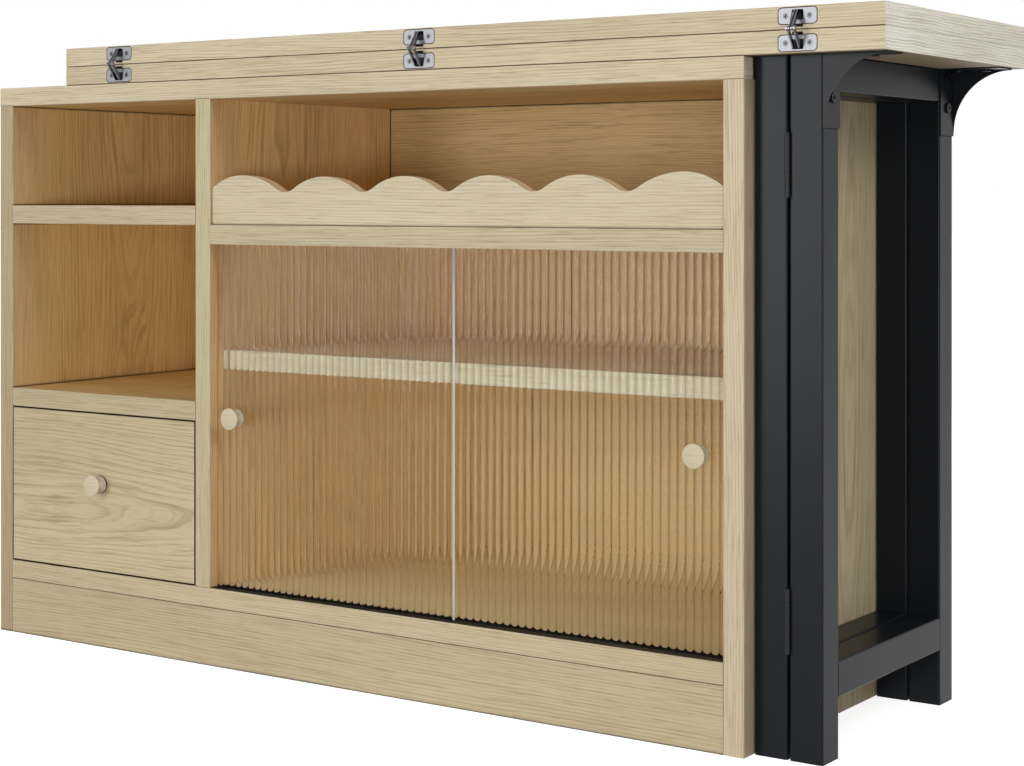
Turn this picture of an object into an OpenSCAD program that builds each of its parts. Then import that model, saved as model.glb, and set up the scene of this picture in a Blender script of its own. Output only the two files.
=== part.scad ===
// Kitchen table with a storage cabinet. Two leaves lie on the cabinet. The lower one slides out
// sideways on a leg frame, and the upper one folds open to the front, onto a gate that swings out.
// Millimetres, +Z up, front toward -Y, long side along X.
// Origin: on the floor, under the middle of the whole object with everything closed.

/* [Cabinet] */
// Width of the cabinet
cab_w = 1167; // [1060:1:1220]
// Depth of the cabinet and of the leaves
cab_d = 400; // [360:1:460]
// Height of the cabinet's top face
cab_h = 755; // [720:1:800]
// Thickness of the boards
board_t = 25; // [20:1:28]
// Height of the kick board
kick_h = 75; // [60:1:100]
// Clear width of the left bay
bay_w = 344; // [300:1:380]
// Clear height of the drawer's bay
drawer_bay_h = 214; // [190:1:240]
// Clear height of the open bay over the drawer
middle_bay_h = 228; // [180:1:240]
// Height over the floor of the rack shelf's underside
rack_z = 542.5; // [500:0.5:560]
// Height over the floor of the inner shelf's underside
inner_shelf_z = 380.5; // [300:0.5:430]
// Setback of the inner shelf from the front
inner_shelf_y = 24.5; // [24.5:0.5:120]
// Gap at each end of the loose inner shelf
shelf_gap = 0.5; // [0.2:0.1:2]
// Thickness of the back panel
back_t = 18; // [12:1:20]
// Recess of the back panel behind the rear edges
back_recess = 4; // [0:1:20]
// Width of the eased edges of the boards
ease = 0.7; // [0.3:0.1:1.5]

/* [Joints of the boards] */
// Diameter of the dowels
dowel_d = 8; // [6:1:10]
// Length of the dowels
dowel_l = 35; // [30:1:40]
// Depth of a dowel in the face of a board
dowel_in = 13; // [10:1:14]
// Room behind each end of a dowel
dowel_room = 1; // [0.5:0.5:2]
// Radial clearance of dowels, pins and screws
fit = 0.05; // [0.02:0.01:0.1]
// Distance from the front edge to the first dowel
dowel_front = 60; // [50:1:90]
// Distance from the rear edge to the last dowel
dowel_rear = 60; // [50:1:90]
// Distance of the back panel's dowels from its corners
back_dowel_end = 100; // [60:1:140]
// Number of dowels along the back panel's sides
back_dowels = 3; // [2:1:5]
// Number of dowels along the kick board
kick_dowels = 3; // [2:1:6]
// Distance of the kick board's dowels from its ends
kick_dowel_end = 170; // [60:1:250]
// Distance of the kick board's end dowels from its edges
kick_dowel_edge = 20; // [15:1:25]
// Diameter of the cabinet's screws
screw_d = 4; // [3:0.5:5]
// Head diameter of the cabinet's screws
screw_head_d = 8; // [7:0.5:9]
// Head height of the cabinet's countersunk screws
screw_head_h = 2.4; // [2:0.1:3]
// Length of the cabinet's screws
screw_l = 35; // [30:1:40]
// Distance of the back panel's screws from the bay's sides
back_screw_end = 90; // [50:1:110]
// Stem diameter of the shelf pins
pin_d = 5; // [4:0.5:6]
// Peg diameter of the shelf pins
peg_d = 7; // [6:0.5:9]
// Depth of a shelf pin's stem in the board
pin_in = 9; // [6:1:12]
// Length of a shelf pin's peg
peg_l = 8; // [6:1:12]

/* [Bottle rail] */
// Thickness of the rail
rail_t = 16; // [12:1:20]
// Setback of the rail from the front
rail_y = 3.5; // [1:0.5:10]
// Distance from one bottle to the next
rail_pitch = 125; // [105:1:125]
// Height of the rail in its valleys
rail_low = 42; // [35:1:60]
// Rise from a valley to an inner crest
rail_rise = 19; // [12:1:24]
// Rise from a valley to an outer crest
rail_end_rise = 21.5; // [14:0.5:26]
// Height of the rail at its two ends
rail_end_h = 46; // [38:1:56]
// Radius of the valleys
rail_valley_r = 26; // [18:1:30]
// Distance from the outer valleys to the outer crests
rail_end_run = 73; // [60:1:80]
// Length of one straight piece of the rail's wavy edge
rail_step = 4; // [2:1:8]

/* [Drawer] */
// Gap around the drawer front
drawer_gap = 2; // [1:0.5:4]
// Thickness of the drawer front
drawer_front_t = 18; // [16:1:22]
// Thickness of the drawer's sides and back
drawer_wall_t = 12; // [10:1:15]
// Height of the drawer's sides
drawer_wall_h = 150; // [110:1:165]
// Height of the drawer's sides over the bottom board
drawer_lift = 20; // [14:1:22]
// Thickness of the drawer's bottom
drawer_bottom_t = 6; // [4:1:8]
// Height of the bottom over the lower edge of the sides
drawer_bottom_z = 10; // [8:1:14]
// Depth of the grooves that hold the bottom
groove_d = 6; // [4:1:7]
// Clearance of the bottom in its grooves
groove_fit = 0.2; // [0.1:0.1:0.5]
// Diameter of the drawer's dowels
drawer_dowel_d = 6; // [5:1:8]
// Length of the drawer's dowels
drawer_dowel_l = 30; // [25:1:36]
// Depth of the dowels in the drawer front
drawer_dowel_in = 10; // [8:1:12]
// Distance of the drawer's dowels from the edges of the sides
drawer_dowel_edge = 30; // [24:1:36]
// Height over the floor of the drawer's knob
drawer_knob_z = 218; // [180:1:240]

/* [Drawer slides] */
// Room between the slides and the back panel
slide_room = 8; // [8:0.5:60]
// Room for a slide between cabinet and drawer
slide_w = 13; // [12.5:0.5:15]
// Height of the outer slide member
slide_h = 45; // [40:1:52]
// Sheet thickness of the slide members
slide_t = 1.2; // [1:0.1:1.5]
// Setback of the slides behind the drawer front
slide_back = 2; // [1:0.5:10]
// Height of the slides' middle over the lower edge of the drawer's sides
slide_z = 75; // [60:1:85]
// Reach of the outer and middle members' lips
slide_lip = 3.3; // [3:0.1:3.6]
// Distance from the cabinet to the middle member
slide_mid_x = 3.4; // [3.2:0.1:3.6]
// Width of the outer slide member
slide_outer_w = 9.5; // [9.2:0.1:9.8]
// Distance from the cabinet to the middle member's open edge
slide_mid_end = 11; // [10.8:0.1:11.2]
// Distance from the cabinet to the inner member's open edge
slide_inner_x = 6; // [5.8:0.1:6.2]
// Reach of the inner member's lips
slide_inner_lip = 2; // [1.6:0.1:2.2]
// Height of the gap that the glide strips fill
glide_h = 3.1; // [2.8:0.1:3.4]
// Running clearance of the glide strips
glide_gap = 0.2; // [0.1:0.1:0.4]
// Diameter of the slides' screws
slide_screw_d = 3; // [2.5:0.5:3.5]
// Length of the slides' screws
slide_screw_l = 10; // [8:1:11]
// Head diameter of the slides' screws
slide_screw_head_d = 7; // [6:0.5:8]
// Head height of the slides' screws
slide_screw_head_h = 1.5; // [1.2:0.1:1.6]
// Distance of the slides' end screws from the ends
slide_screw_end = 40; // [30:1:60]
// Number of screws in each slide member
slide_screws_n = 3; // [2:1:4]

/* [Glass doors] */
// Thickness of the panes
glass_t = 5; // [4:0.5:6]
// Distance from the cabinet's front to the front pane
glass_y = 12.5; // [10:0.5:16]
// Gap between the two panes
glass_gap = 1; // [0.8:0.1:1.5]
// Distance from one flute of the glass to the next
flute_pitch = 10.65; // [8:0.05:14]
// Depth of the flutes
flute_depth = 1.5; // [0.8:0.1:2]
// Straight pieces that make one flute
flute_steps = 6; // [4:2:8]
// Overlap of the two panes
glass_overlap = 7; // [4:1:20]
// Gap between a pane and the end of its track
glass_end = 0.5; // [0.2:0.1:2]
// Clearance of a pane in its channel, on each side
channel_gap = 0.2; // [0.1:0.1:0.3]
// Depth of the bottom track's channels
channel_low = 5; // [4:0.5:6]
// Depth of the top track's channels
channel_high = 9.5; // [8:0.5:12]
// Depth of a pane in the top track
glass_in = 4.5; // [3.5:0.5:5]
// Height of a pane over the floor of its channel
glass_lift = 0.3; // [0.1:0.1:0.5]
// Wall thickness of the tracks
track_t = 1; // [0.8:0.1:1.5]
// Height of the bottom track over the bottom board
track_top = 1; // [0.5:0.1:1.5]
// Setback of the bottom track's flange from the front
track_y = 0.7; // [0.5:0.1:4]
// Width of the flange behind the channels
track_rear = 1; // [0.5:0.5:3]
// Clearance between a track and its groove
track_fit = 0.1; // [0.05:0.05:0.2]
// Distance from the bay's side to the knob of a door
door_knob_in = 37.6; // [30:0.1:60]
// Height over the floor of the doors' knobs
door_knob_z = 320; // [200:1:450]

/* [Knobs] */
// Diameter of a knob's head
knob_d = 28; // [24:1:34]
// Diameter of a knob's base flange
knob_base_d = 22; // [18:1:24]
// Diameter of a knob's neck
knob_neck_d = 14; // [12:1:16]
// Length of a knob
knob_l = 19.5; // [18.5:0.5:26]
// Thickness of the head's rim
knob_rim = 3; // [2:0.5:4]
// Height of the dome on the head
knob_dome = 1; // [0.5:0.1:2]
// Thickness of the base flange
knob_base_t = 2.5; // [2:0.5:3.5]
// Diameter of a knob's screw
knob_screw_d = 4; // [3:0.5:5]
// Depth of the screw in the knob
knob_screw_in = 12; // [8:1:14]
// Head diameter of a door knob's flush screw
flush_head_d = 9; // [8:0.5:10]
// Head height of a door knob's flush screw
flush_head_h = 2.4; // [2:0.1:2.8]

/* [Leaves] */
// Length of the leaves
leaf_l = 1200; // [1100:1:1250]
// Thickness of a leaf
leaf_t = 24.7; // [24:0.1:30]
// Distance from the brackets' tips to the leaves' right ends
leaf_past = 7; // [4:0.5:20]
// Gap between the cabinet's top and the lower leaf
leaf_lift = 0.3; // [0.2:0.1:0.5]
// Gap between the two leaves
leaf_seam = 0.3; // [0.2:0.1:0.5]

/* [Table guides] */
// Width of a guide channel
guide_w = 24; // [22:0.5:28]
// Height of a guide channel
guide_h = 11; // [10:0.5:12]
// Wall thickness of a guide channel
guide_t = 1.5; // [1.2:0.1:2]
// Width of the slot in a guide channel
guide_slot = 13; // [12.5:0.5:14]
// Distance from the front edge to the first guide, and from the rear edge to the second
guide_edge = 100; // [80:1:120]
// Distance of the channels' left ends from the leaf's left end
guide_start = 15; // [10:1:30]
// Distance of the channels' right ends from the leaf's right end
guide_stop = 185; // [130:1:235]
// Clearance between a runner and its channel
runner_gap = 0.6; // [0.4:0.1:0.8]
// Length of a table runner
runner_l = 120; // [80:1:120]
// Distance of the runners from the cabinet's right side
runner_end = 27; // [27:1:60]
// Width of a runner's neck
runner_neck = 11.8; // [11:0.1:12]
// Length of the runners' screws
runner_screw_l = 25; // [20:1:28]
// Distance of a runner's screws from its ends
runner_screw_end = 20; // [15:1:30]

/* [Leg frames] */
// Side of the square tubes
tube = 39; // [30:0.5:45]
// Corner radius of the tubes
tube_r = 2; // [1:0.1:4]
// Wall thickness of the tubes
tube_t = 2; // [1.5:0.1:3]
// Setback of the frames from the cabinet's front
frame_y = 21.5; // [15:0.5:30]
// Setback of the frames from the cabinet's rear
frame_rear = 24.5; // [15:0.5:30]
// Gap between the cabinet and the gate
gate_gap = 2; // [2:0.5:6]
// Gap between the gate and the outer frame
frame_gap = 3; // [3:0.1:4]
// Gap between the gate and the leaf
gate_drop = 0.5; // [0.3:0.1:3]
// Height over the floor of the lower rails
frame_rail_z = 65; // [40:1:120]
// Diameter of the frames' screws
frame_screw_d = 4; // [3.5:0.5:5]
// Head diameter of the frames' screws
frame_screw_head_d = 11.5; // [8:0.5:12]
// Head height of the frames' screws
frame_screw_head_h = 2.6; // [2:0.1:3]
// Length of the frames' screws
frame_screw_l = 16; // [12:1:18]
// Number of screws from the top rail into the leaf
frame_screws_n = 3; // [2:1:5]
// Distance of the top rail's end screws from the posts
frame_screw_end = 40; // [30:1:60]
// Diameter of the holes for the screwdriver
access_d = 14; // [13:1:18]

/* [Brackets] */
// Reach of a bracket under the leaf
bracket_reach = 74; // [74:1:78]
// Height of a bracket
bracket_h = 79; // [79:1:100]
// Sheet thickness of the brackets
bracket_t = 1.6; // [1:0.1:3]
// Radius of the bracket's hollow edge
bracket_r = 72; // [66:1:72]
// Distance from the leaf to the upper screw on the post
bracket_screw_z = 11; // [9:1:16]
// Distance between the two screws on the post
bracket_screw_pitch = 35; // [25:1:45]
// Distance from the post to the first screw under the leaf
bracket_screw_x = 16; // [12:1:30]
// Distance between the two screws under the leaf
bracket_screw_run = 34; // [20:1:40]

/* [Butt hinges] */
// Diameter of the barrels
barrel_d = 5.7; // [5.4:0.1:5.8]
// Length of the barrels
barrel_l = 70; // [50:1:90]
// Number of knuckles
knuckles = 5; // [3:2:7]
// Gap between two knuckles
knuckle_gap = 0.4; // [0.1:0.1:0.5]
// Distance of the axis in front of the frames
barrel_y = 2.8; // [2.8:0.1:3.5]
// Diameter of the hinge pins
butt_pin_d = 2.9; // [2.5:0.1:3]
// Thickness of the hinge leaves
butt_t = 1.2; // [1:0.1:1.3]
// Width of the hinge leaves
butt_w = 24; // [20:1:30]
// Height over the floor of the lower hinge's middle
butt_low_z = 149; // [145:1:200]
// Distance from the table's underside to the upper hinge's middle
butt_high_z = 118; // [80:1:160]
// Diameter of the butt hinges' screws
butt_screw_d = 3; // [2.5:0.5:3.5]
// Head diameter of the butt hinges' screws
butt_screw_head_d = 6; // [5:0.5:7]
// Length of the butt hinges' screws
butt_screw_l = 10; // [8:1:14]
// Distance of the butt hinges' screws from the ends
butt_screw_end = 12; // [9:1:15]
// Number of screws in each hinge leaf
butt_screws_n = 3; // [2:1:4]

/* [Fold hinges] */
// Distance of the outer fold hinges from the leaves' ends
fold_end = 100; // [70:1:160]
// Width of the plates
plate_w = 44.6; // [42:0.2:50]
// Height of the plates
plate_h = 16.8; // [16.4:0.1:16.8]
// Thickness of the plates
plate_t = 2.5; // [2:0.1:2.6]
// Corner radius of the plates
plate_r = 4; // [2:0.5:6]
// Gap between a plate and the edge of its mortise
plate_gap = 1; // [0.3:0.1:1.1]
// Distance from the seam to the middle of a plate
plate_z = 14.4; // [14.4:0.1:14.6]
// Distance of the plates' screws from their middle
plate_screw_x = 14; // [13:0.5:16]
// Diameter of the plates' screws
plate_screw_d = 3.5; // [3:0.5:4]
// Head diameter of the plates' screws
plate_screw_head_d = 6.5; // [6:0.5:8]
// Head height of the plates' screws
plate_screw_head_h = 2; // [1.8:0.1:2.2]
// Length of the plates' screws
plate_screw_l = 18; // [14:1:25]
// Depth of the hollow face of a plate
plate_dish = 0.8; // [0.4:0.1:1]
// Distance of the knuckle in front of the leaves' edges
knee_y = 15.5; // [14:0.1:15.5]
// Radius of the knuckle
knee_r = 2.5; // [2.3:0.1:2.5]
// Radius of the arms' ends
arm_r = 2.2; // [2:0.1:2.2]
// Distance of the arms' ends in front of the leaves' edges
arm_y = 2.55; // [2.5:0.05:2.6]
// Distance from the seam to the arms' ends
arm_z = 18.4; // [18:0.1:18.4]
// Distance of the arms' heels in front of the leaves' edges
heel_y = 0.15; // [0.1:0.05:0.3]
// Distance from the seam to the arms' heels
heel_z = 20.5; // [20.2:0.1:20.6]
// Thickness of an arm
arm_t = 1.6; // [1.2:0.1:1.6]
// Gap beside an arm
arm_gap = 0.4; // [0.3:0.1:0.6]
// Diameter of the knuckle pin
knee_pin_d = 2.6; // [2:0.1:3]
// Head diameter of the knuckle pin
knee_head_d = 5; // [4.5:0.1:5]
// Head thickness of the knuckle pin
knee_head_t = 0.9; // [0.6:0.1:1.2]
// Half width of the pockets for the links
pocket_half = 6.4; // [6.4:0.1:7.5]
// Depth of the pockets
pocket_d = 24; // [24:1:28]
// Distance from the seam to the near wall of a pocket
pocket_near = 2.5; // [2:0.1:2.6]
// Distance from the seam to the far wall of a pocket
pocket_far = 21.1; // [21:0.1:21.5]
// Distance from the seam to the near end of a plate's slot
slot_near = 10.3; // [9:0.1:10.3]

/* [Hidden] */
$fn = 64;
eps = 0.01;

WOOD = "BurlyWood";
KNOB_WOOD = "Wheat";
SLATE = "DimGray";
BLACK = [0.08, 0.08, 0.09];
CHROME = "Silver";
STEEL = "LightSteelBlue";
ALU = "Gainsboro";
GLASS = [0.8, 0.9, 0.88, 0.5];

// heights and places of the boards
x_left = board_t;
x_divider = x_left + bay_w;
x_bay = x_divider + board_t;
x_right = cab_w - board_t;
x_divider_mid = x_divider + board_t / 2;
z_under_top = cab_h - board_t;
z_bottom = kick_h + board_t;
z_low_shelf = z_bottom + drawer_bay_h;
z_high_shelf = z_low_shelf + board_t + middle_bay_h;
z_rack = rack_z + board_t;
y_back = cab_d - back_recess - back_t;
y_back_mid = y_back + back_t / 2;
right_bay_w = x_right - x_bay;

// boards as [corner, size]
SIDE_L = [[0, 0, 0], [board_t, cab_d, z_under_top]];
SIDE_R = [[x_right, 0, 0], [board_t, cab_d, z_under_top]];
TOP = [[0, 0, z_under_top], [cab_w, cab_d, board_t]];
DIVIDER = [[x_divider, 0, z_bottom], [board_t, y_back, z_under_top - z_bottom]];
BOTTOM = [[x_left, 0, kick_h], [x_right - x_left, cab_d, board_t]];
KICK = [[x_left, 0, 0], [x_right - x_left, board_t, kick_h]];
BACK = [[x_left, y_back, z_bottom], [x_right - x_left, back_t, z_under_top - z_bottom]];
SHELF_LOW = [[x_left, 0, z_low_shelf], [bay_w, y_back, board_t]];
SHELF_HIGH = [[x_left, 0, z_high_shelf], [bay_w, y_back, board_t]];
RACK = [[x_bay, 0, rack_z], [right_bay_w, y_back, board_t]];
INNER = [[x_bay + shelf_gap, inner_shelf_y, inner_shelf_z],
  [right_bay_w - 2 * shelf_gap, y_back - inner_shelf_y - shelf_gap, board_t]];

// the leaves, the frames and the folding joint
z_leaf = cab_h + leaf_lift;
z_upper = z_leaf + leaf_t + leaf_seam;
z_seam = z_leaf + leaf_t + leaf_seam / 2;
x_gate = cab_w + gate_gap;
x_frame = x_gate + tube + frame_gap;
x_frame_end = x_frame + tube;
x_leaf_end = x_frame_end + bracket_reach + leaf_past;
leaf_in = x_leaf_end - leaf_l;
guide_l = leaf_l - guide_start - guide_stop;
LEAF_LOW = [[leaf_in, 0, z_leaf], [leaf_l, cab_d, leaf_t]];
LEAF_HIGH = [[leaf_in, 0, z_upper], [leaf_l, cab_d, leaf_t]];
x_barrel = x_frame - frame_gap / 2;
y_barrel = frame_y - barrel_y;
y_frame_end = cab_d - frame_rear;
FOLD_XS = [leaf_in + fold_end, leaf_in + leaf_l / 2, x_leaf_end - fold_end];
GUIDE_YS = [guide_edge, cab_d - guide_edge];

// the object's origin
reach = max(knob_l, knee_y + knee_r);
x_ends = min(0, leaf_in) + max(cab_w, x_leaf_end);
ORIGIN = [-x_ends / 2, -(cab_d - reach) / 2, 0];

// evenly spaced places from a to b
function row(a, b, n) = [for (i = [0 : n - 1]) a + (b - a) * i / (n - 1)];

// ---- general pieces ----

module placed() translate(ORIGIN) children();

module eased(w, h) {
  polygon([[ease, 0], [w - ease, 0], [w, ease], [w, h - ease], [w - ease, h], [ease, h],
    [0, h - ease], [0, ease]]);
}

// boards with the grain and the eased edges along X, Y or Z
module board_x(b) translate(b[0]) rotate([90, 0, 90]) linear_extrude(b[1].x) eased(b[1].y, b[1].z);
module board_z(b) translate(b[0]) linear_extrude(b[1].z) eased(b[1].x, b[1].y);

module box(lo, hi) translate(lo) cube(hi - lo);
module rod_x(p, l, d) translate(p) rotate([0, 90, 0]) cylinder(h = l, d = d);
module rod_y(p, l, d) translate(p) rotate([-90, 0, 0]) cylinder(h = l, d = d);
module rod_z(p, l, d) translate(p) cylinder(h = l, d = d);

// turns +Z toward a given direction
TURNS = [["x+", [0, 90, 0]], ["x-", [0, -90, 0]], ["y+", [-90, 0, 0]], ["y-", [90, 0, 0]],
  ["z+", [0, 0, 0]], ["z-", [180, 0, 0]]];
module aim(p, way) {
  turn = [for (t = TURNS) if (t[0] == way) t[1]][0];
  translate(p) rotate(turn) children();
}

module cross_recess(d, depth) {
  long = d * 0.55;
  thin = d * 0.14;
  for (a = [0, 90])
    rotate([0, 0, a]) translate([-long / 2, -thin / 2, -eps]) cube([long, thin, depth + eps]);
}

// a countersunk screw: the face of the head at Z 0, the shank toward +Z
module flat_screw(d, l, head_d, head_h) {
  difference() {
    union() {
      cylinder(h = head_h, d1 = head_d, d2 = d);
      cylinder(h = l, d = d);
    }
    cross_recess(head_d, head_h * 0.7);
  }
}
module flat_hole(d, l, head_d, head_h) {
  translate([0, 0, -eps]) cylinder(h = head_h + eps, d1 = head_d + 2 * fit, d2 = d + 2 * fit);
  translate([0, 0, -eps]) cylinder(h = l + dowel_room + eps, d = d + 2 * fit);
}

// a pan head screw: the seat of the head at Z 0, the shank toward +Z
module pan_screw(d, l, head_d, head_h) {
  difference() {
    union() {
      translate([0, 0, -head_h]) cylinder(h = head_h, d = head_d);
      cylinder(h = l, d = d);
    }
    translate([0, 0, -head_h]) cross_recess(head_d, head_h * 0.6);
  }
}
module pan_hole(d, l) translate([0, 0, -eps]) cylinder(h = l + dowel_room + eps, d = d + 2 * fit);

// ---- dowels of the boards ----

dowel_ys = row(dowel_front, y_back - dowel_rear, 3);
kick_zs = [kick_dowel_edge, kick_h - kick_dowel_edge];
back_zs = row(z_bottom + back_dowel_end, z_under_top - back_dowel_end, back_dowels);
kick_xs = row(x_left + kick_dowel_end, x_right - kick_dowel_end, kick_dowels);
rail_dowel_xs = [for (k = [-1.5, -0.5, 0.5, 1.5]) (x_bay + x_right) / 2 + k * rail_pitch];
rail_mid_y = rail_y + rail_t / 2;

function left_end(x) = x - dowel_in;
function right_end(x) = x + dowel_in - dowel_l;

DOWELS_X = concat(
  [for (y = dowel_ys) for (x = [left_end(x_left), right_end(x_right)]) [x, y, kick_h + board_t / 2]],
  [for (z = kick_zs) for (x = [left_end(x_left), right_end(x_right)]) [x, board_t / 2, z]],
  [for (y = dowel_ys) for (z = [z_low_shelf, z_high_shelf])
    for (x = [left_end(x_left), right_end(x_divider)]) [x, y, z + board_t / 2]],
  [for (y = dowel_ys) for (x = [left_end(x_bay), right_end(x_right)]) [x, y, rack_z + board_t / 2]],
  [for (z = back_zs) for (x = [left_end(x_left), right_end(x_right)]) [x, y_back_mid, z]]);
DOWELS_Z = concat(
  [for (y = dowel_ys) for (x = [board_t / 2, x_divider_mid, cab_w - board_t / 2])
    [x, y, right_end(z_under_top)]],
  [for (y = dowel_ys) [x_divider_mid, y, left_end(z_bottom)]],
  [for (x = kick_xs) [x, board_t / 2, right_end(kick_h)]],
  [for (x = rail_dowel_xs) [x, rail_mid_y, left_end(z_rack)]]);

function crosses(p, lo, hi, i) = p[i] < hi[i] && p[i] + dowel_l > lo[i];
function inside(p, lo, hi, i) = p[i] > lo[i] && p[i] < hi[i];

// the holes of all dowels that enter one board
module dowel_holes(b) {
  lo = b[0];
  hi = b[0] + b[1];
  l = dowel_l + 2 * dowel_room;
  for (p = DOWELS_X)
    if (crosses(p, lo, hi, 0) && inside(p, lo, hi, 1) && inside(p, lo, hi, 2))
      rod_x(p - [dowel_room, 0, 0], l, dowel_d + 2 * fit);
  for (p = DOWELS_Z)
    if (crosses(p, lo, hi, 2) && inside(p, lo, hi, 0) && inside(p, lo, hi, 1))
      rod_z(p - [0, 0, dowel_room], l, dowel_d + 2 * fit);
}

module cabinet_dowels() color(KNOB_WOOD) placed() {
  for (p = DOWELS_X) rod_x(p, dowel_l, dowel_d);
  for (p = DOWELS_Z) rod_z(p, dowel_l, dowel_d);
}

// ---- screws of the back panel and of the runners ----

back_screw_xs = [x_left + back_screw_end, x_divider - back_screw_end];
rack_screw_xs = [x_bay + 2 * back_screw_end, x_right - 2 * back_screw_end];
divider_screw_zs = row(z_bottom + back_dowel_end, z_under_top - back_dowel_end, 3);
BACK_SCREWS = concat(
  [for (x = back_screw_xs) for (z = [z_low_shelf, z_high_shelf]) [x, z + board_t / 2]],
  [for (x = rack_screw_xs) [x, rack_z + board_t / 2]],
  [for (z = divider_screw_zs) [x_divider_mid, z]]);

x_runner = x_right + board_t - runner_end - runner_l;
runner_screw_xs = [x_runner + runner_screw_end, x_runner + runner_l - runner_screw_end];
runner_head_z = z_leaf + guide_t + runner_gap / 2;
runner_top_z = z_leaf + guide_h - guide_t - runner_gap;

module at_back_screws() for (s = BACK_SCREWS) aim([s.x, y_back + back_t, s.y], "y-") children();
module at_runner_screws() {
  for (y = GUIDE_YS) for (x = runner_screw_xs) aim([x, y, runner_top_z], "z-") children();
}

module cabinet_screws() color(STEEL) placed() {
  at_back_screws() flat_screw(screw_d, screw_l, screw_head_d, screw_head_h);
  at_runner_screws() flat_screw(screw_d, runner_screw_l, screw_head_d, screw_head_h);
}
module back_screw_holes() at_back_screws() flat_hole(screw_d, screw_l, screw_head_d, screw_head_h);
module runner_screw_holes() {
  at_runner_screws() flat_hole(screw_d, runner_screw_l, screw_head_d, screw_head_h);
}

// ---- cabinet ----

module side_panel_left() color(WOOD) placed() difference() {
  board_z(SIDE_L);
  dowel_holes(SIDE_L);
  slide_holes_left();
}

module side_panel_right() color(WOOD) placed() difference() {
  board_z(SIDE_R);
  dowel_holes(SIDE_R);
  shelf_pin_holes();
}

module top_board() color(WOOD) placed() difference() {
  board_x(TOP);
  dowel_holes(TOP);
  runner_screw_holes();
}

module divider_panel() color(WOOD) placed() difference() {
  board_z(DIVIDER);
  dowel_holes(DIVIDER);
  back_screw_holes();
  slide_holes_right();
  shelf_pin_holes();
}

module bottom_board() color(WOOD) placed() difference() {
  board_x(BOTTOM);
  dowel_holes(BOTTOM);
  box([x_bay, y_channels - track_fit, z_bottom - track_sunk - track_fit],
    [x_right + eps, y_channels_end + track_fit, z_bottom + eps]);
}

module kick_board() color(WOOD) placed() difference() {
  board_x(KICK);
  dowel_holes(KICK);
}

module back_panel() color(WOOD) placed() difference() {
  board_x(BACK);
  dowel_holes(BACK);
  back_screw_holes();
}

module shelf_upper_left() color(WOOD) placed() difference() {
  board_x(SHELF_HIGH);
  dowel_holes(SHELF_HIGH);
  back_screw_holes();
}

module shelf_lower_left() color(WOOD) placed() difference() {
  board_x(SHELF_LOW);
  dowel_holes(SHELF_LOW);
  back_screw_holes();
}

module rack_shelf() color(WOOD) placed() difference() {
  board_x(RACK);
  dowel_holes(RACK);
  back_screw_holes();
  box([x_bay - eps, y_channels - track_fit, rack_z - eps],
    [x_right + eps, y_channels_end + track_fit, rack_z + channel_high + track_t + track_fit]);
}

module inner_shelf() color(WOOD) placed() board_x(INNER);

// the pins that carry the inner shelf: stems in the divider and the side panel
pin_ys = [inner_shelf_y + dowel_front, y_back - dowel_rear];
pin_z = inner_shelf_z - peg_d / 2;
module shelf_pin_holes() {
  for (y = pin_ys) {
    rod_x([x_bay - pin_in - dowel_room, y, pin_z], pin_in + dowel_room + eps, pin_d + 2 * fit);
    rod_x([x_right - eps, y, pin_z], pin_in + dowel_room + eps, pin_d + 2 * fit);
  }
}
module shelf_pins() color(STEEL) placed() {
  for (y = pin_ys) {
    rod_x([x_bay - pin_in, y, pin_z], pin_in + peg_l, pin_d);
    rod_x([x_bay, y, pin_z], peg_l, peg_d);
    rod_x([x_right - peg_l, y, pin_z], pin_in + peg_l, pin_d);
    rod_x([x_right - peg_l, y, pin_z], peg_l, peg_d);
  }
}

// ---- bottle rail ----

// height over the valley, at a distance u from it, of two arcs that rise over a run to a crest
function wave(u, run, rise) =
  let (slope = 2 * atan(rise / run), crest_r = run / sin(slope) - rail_valley_r,
    turn = rail_valley_r * sin(slope))
  u < turn ? rail_valley_r - sqrt(rail_valley_r * rail_valley_r - u * u)
    : rise - crest_r + sqrt(crest_r * crest_r - (run - u) * (run - u));

outer_valley = 2 * rail_pitch;
outer_crest = outer_valley + rail_end_run;
rail_half = right_bay_w / 2;
end_run = rail_half - outer_crest;
end_drop = rail_low + rail_end_rise - rail_end_h;
end_r = (end_run * end_run + end_drop * end_drop) / (2 * end_drop);

function rail_top(x) =
  let (u = abs(x))
  u < outer_valley
    ? let (v = u - rail_pitch * round(u / rail_pitch)) rail_low + wave(abs(v), rail_pitch / 2, rail_rise)
    : u < outer_crest ? rail_low + wave(u - outer_valley, rail_end_run, rail_end_rise)
    : rail_low + rail_end_rise - end_r + sqrt(end_r * end_r - pow(u - outer_crest, 2));

rail_pieces = 2 * ceil(rail_half / rail_step);
rail_edge = [for (x = row(-rail_half, rail_half, rail_pieces + 1)) [x, rail_top(x)]];

module bottle_rail() color(WOOD) placed() difference() {
  translate([x_bay + rail_half, rail_y + rail_t, z_rack]) rotate([90, 0, 0]) linear_extrude(rail_t)
    polygon(concat([[rail_half, 0], [-rail_half, 0]], rail_edge));
  for (p = DOWELS_Z)
    if (p.z == left_end(z_rack) && p.y == rail_mid_y)
      rod_z(p - [0, 0, dowel_room], dowel_l + 2 * dowel_room, dowel_d + 2 * fit);
}

// ---- drawer slides ----

x_side_l = x_left + slide_w;
x_side_r = x_divider - slide_w - drawer_wall_t;
z_wall = z_bottom + drawer_lift;
z_slide = z_wall + slide_z;
y_slide = drawer_front_t + slide_back;
slide_l = y_back - slide_room - y_slide;
outer_half = slide_h / 2;
mid_half = outer_half - slide_t - glide_h;
inner_half = mid_half - slide_t - glide_h;
slide_screw_ys = row(y_slide + slide_screw_end, y_slide + slide_l - slide_screw_end, slide_screws_n);

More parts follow.
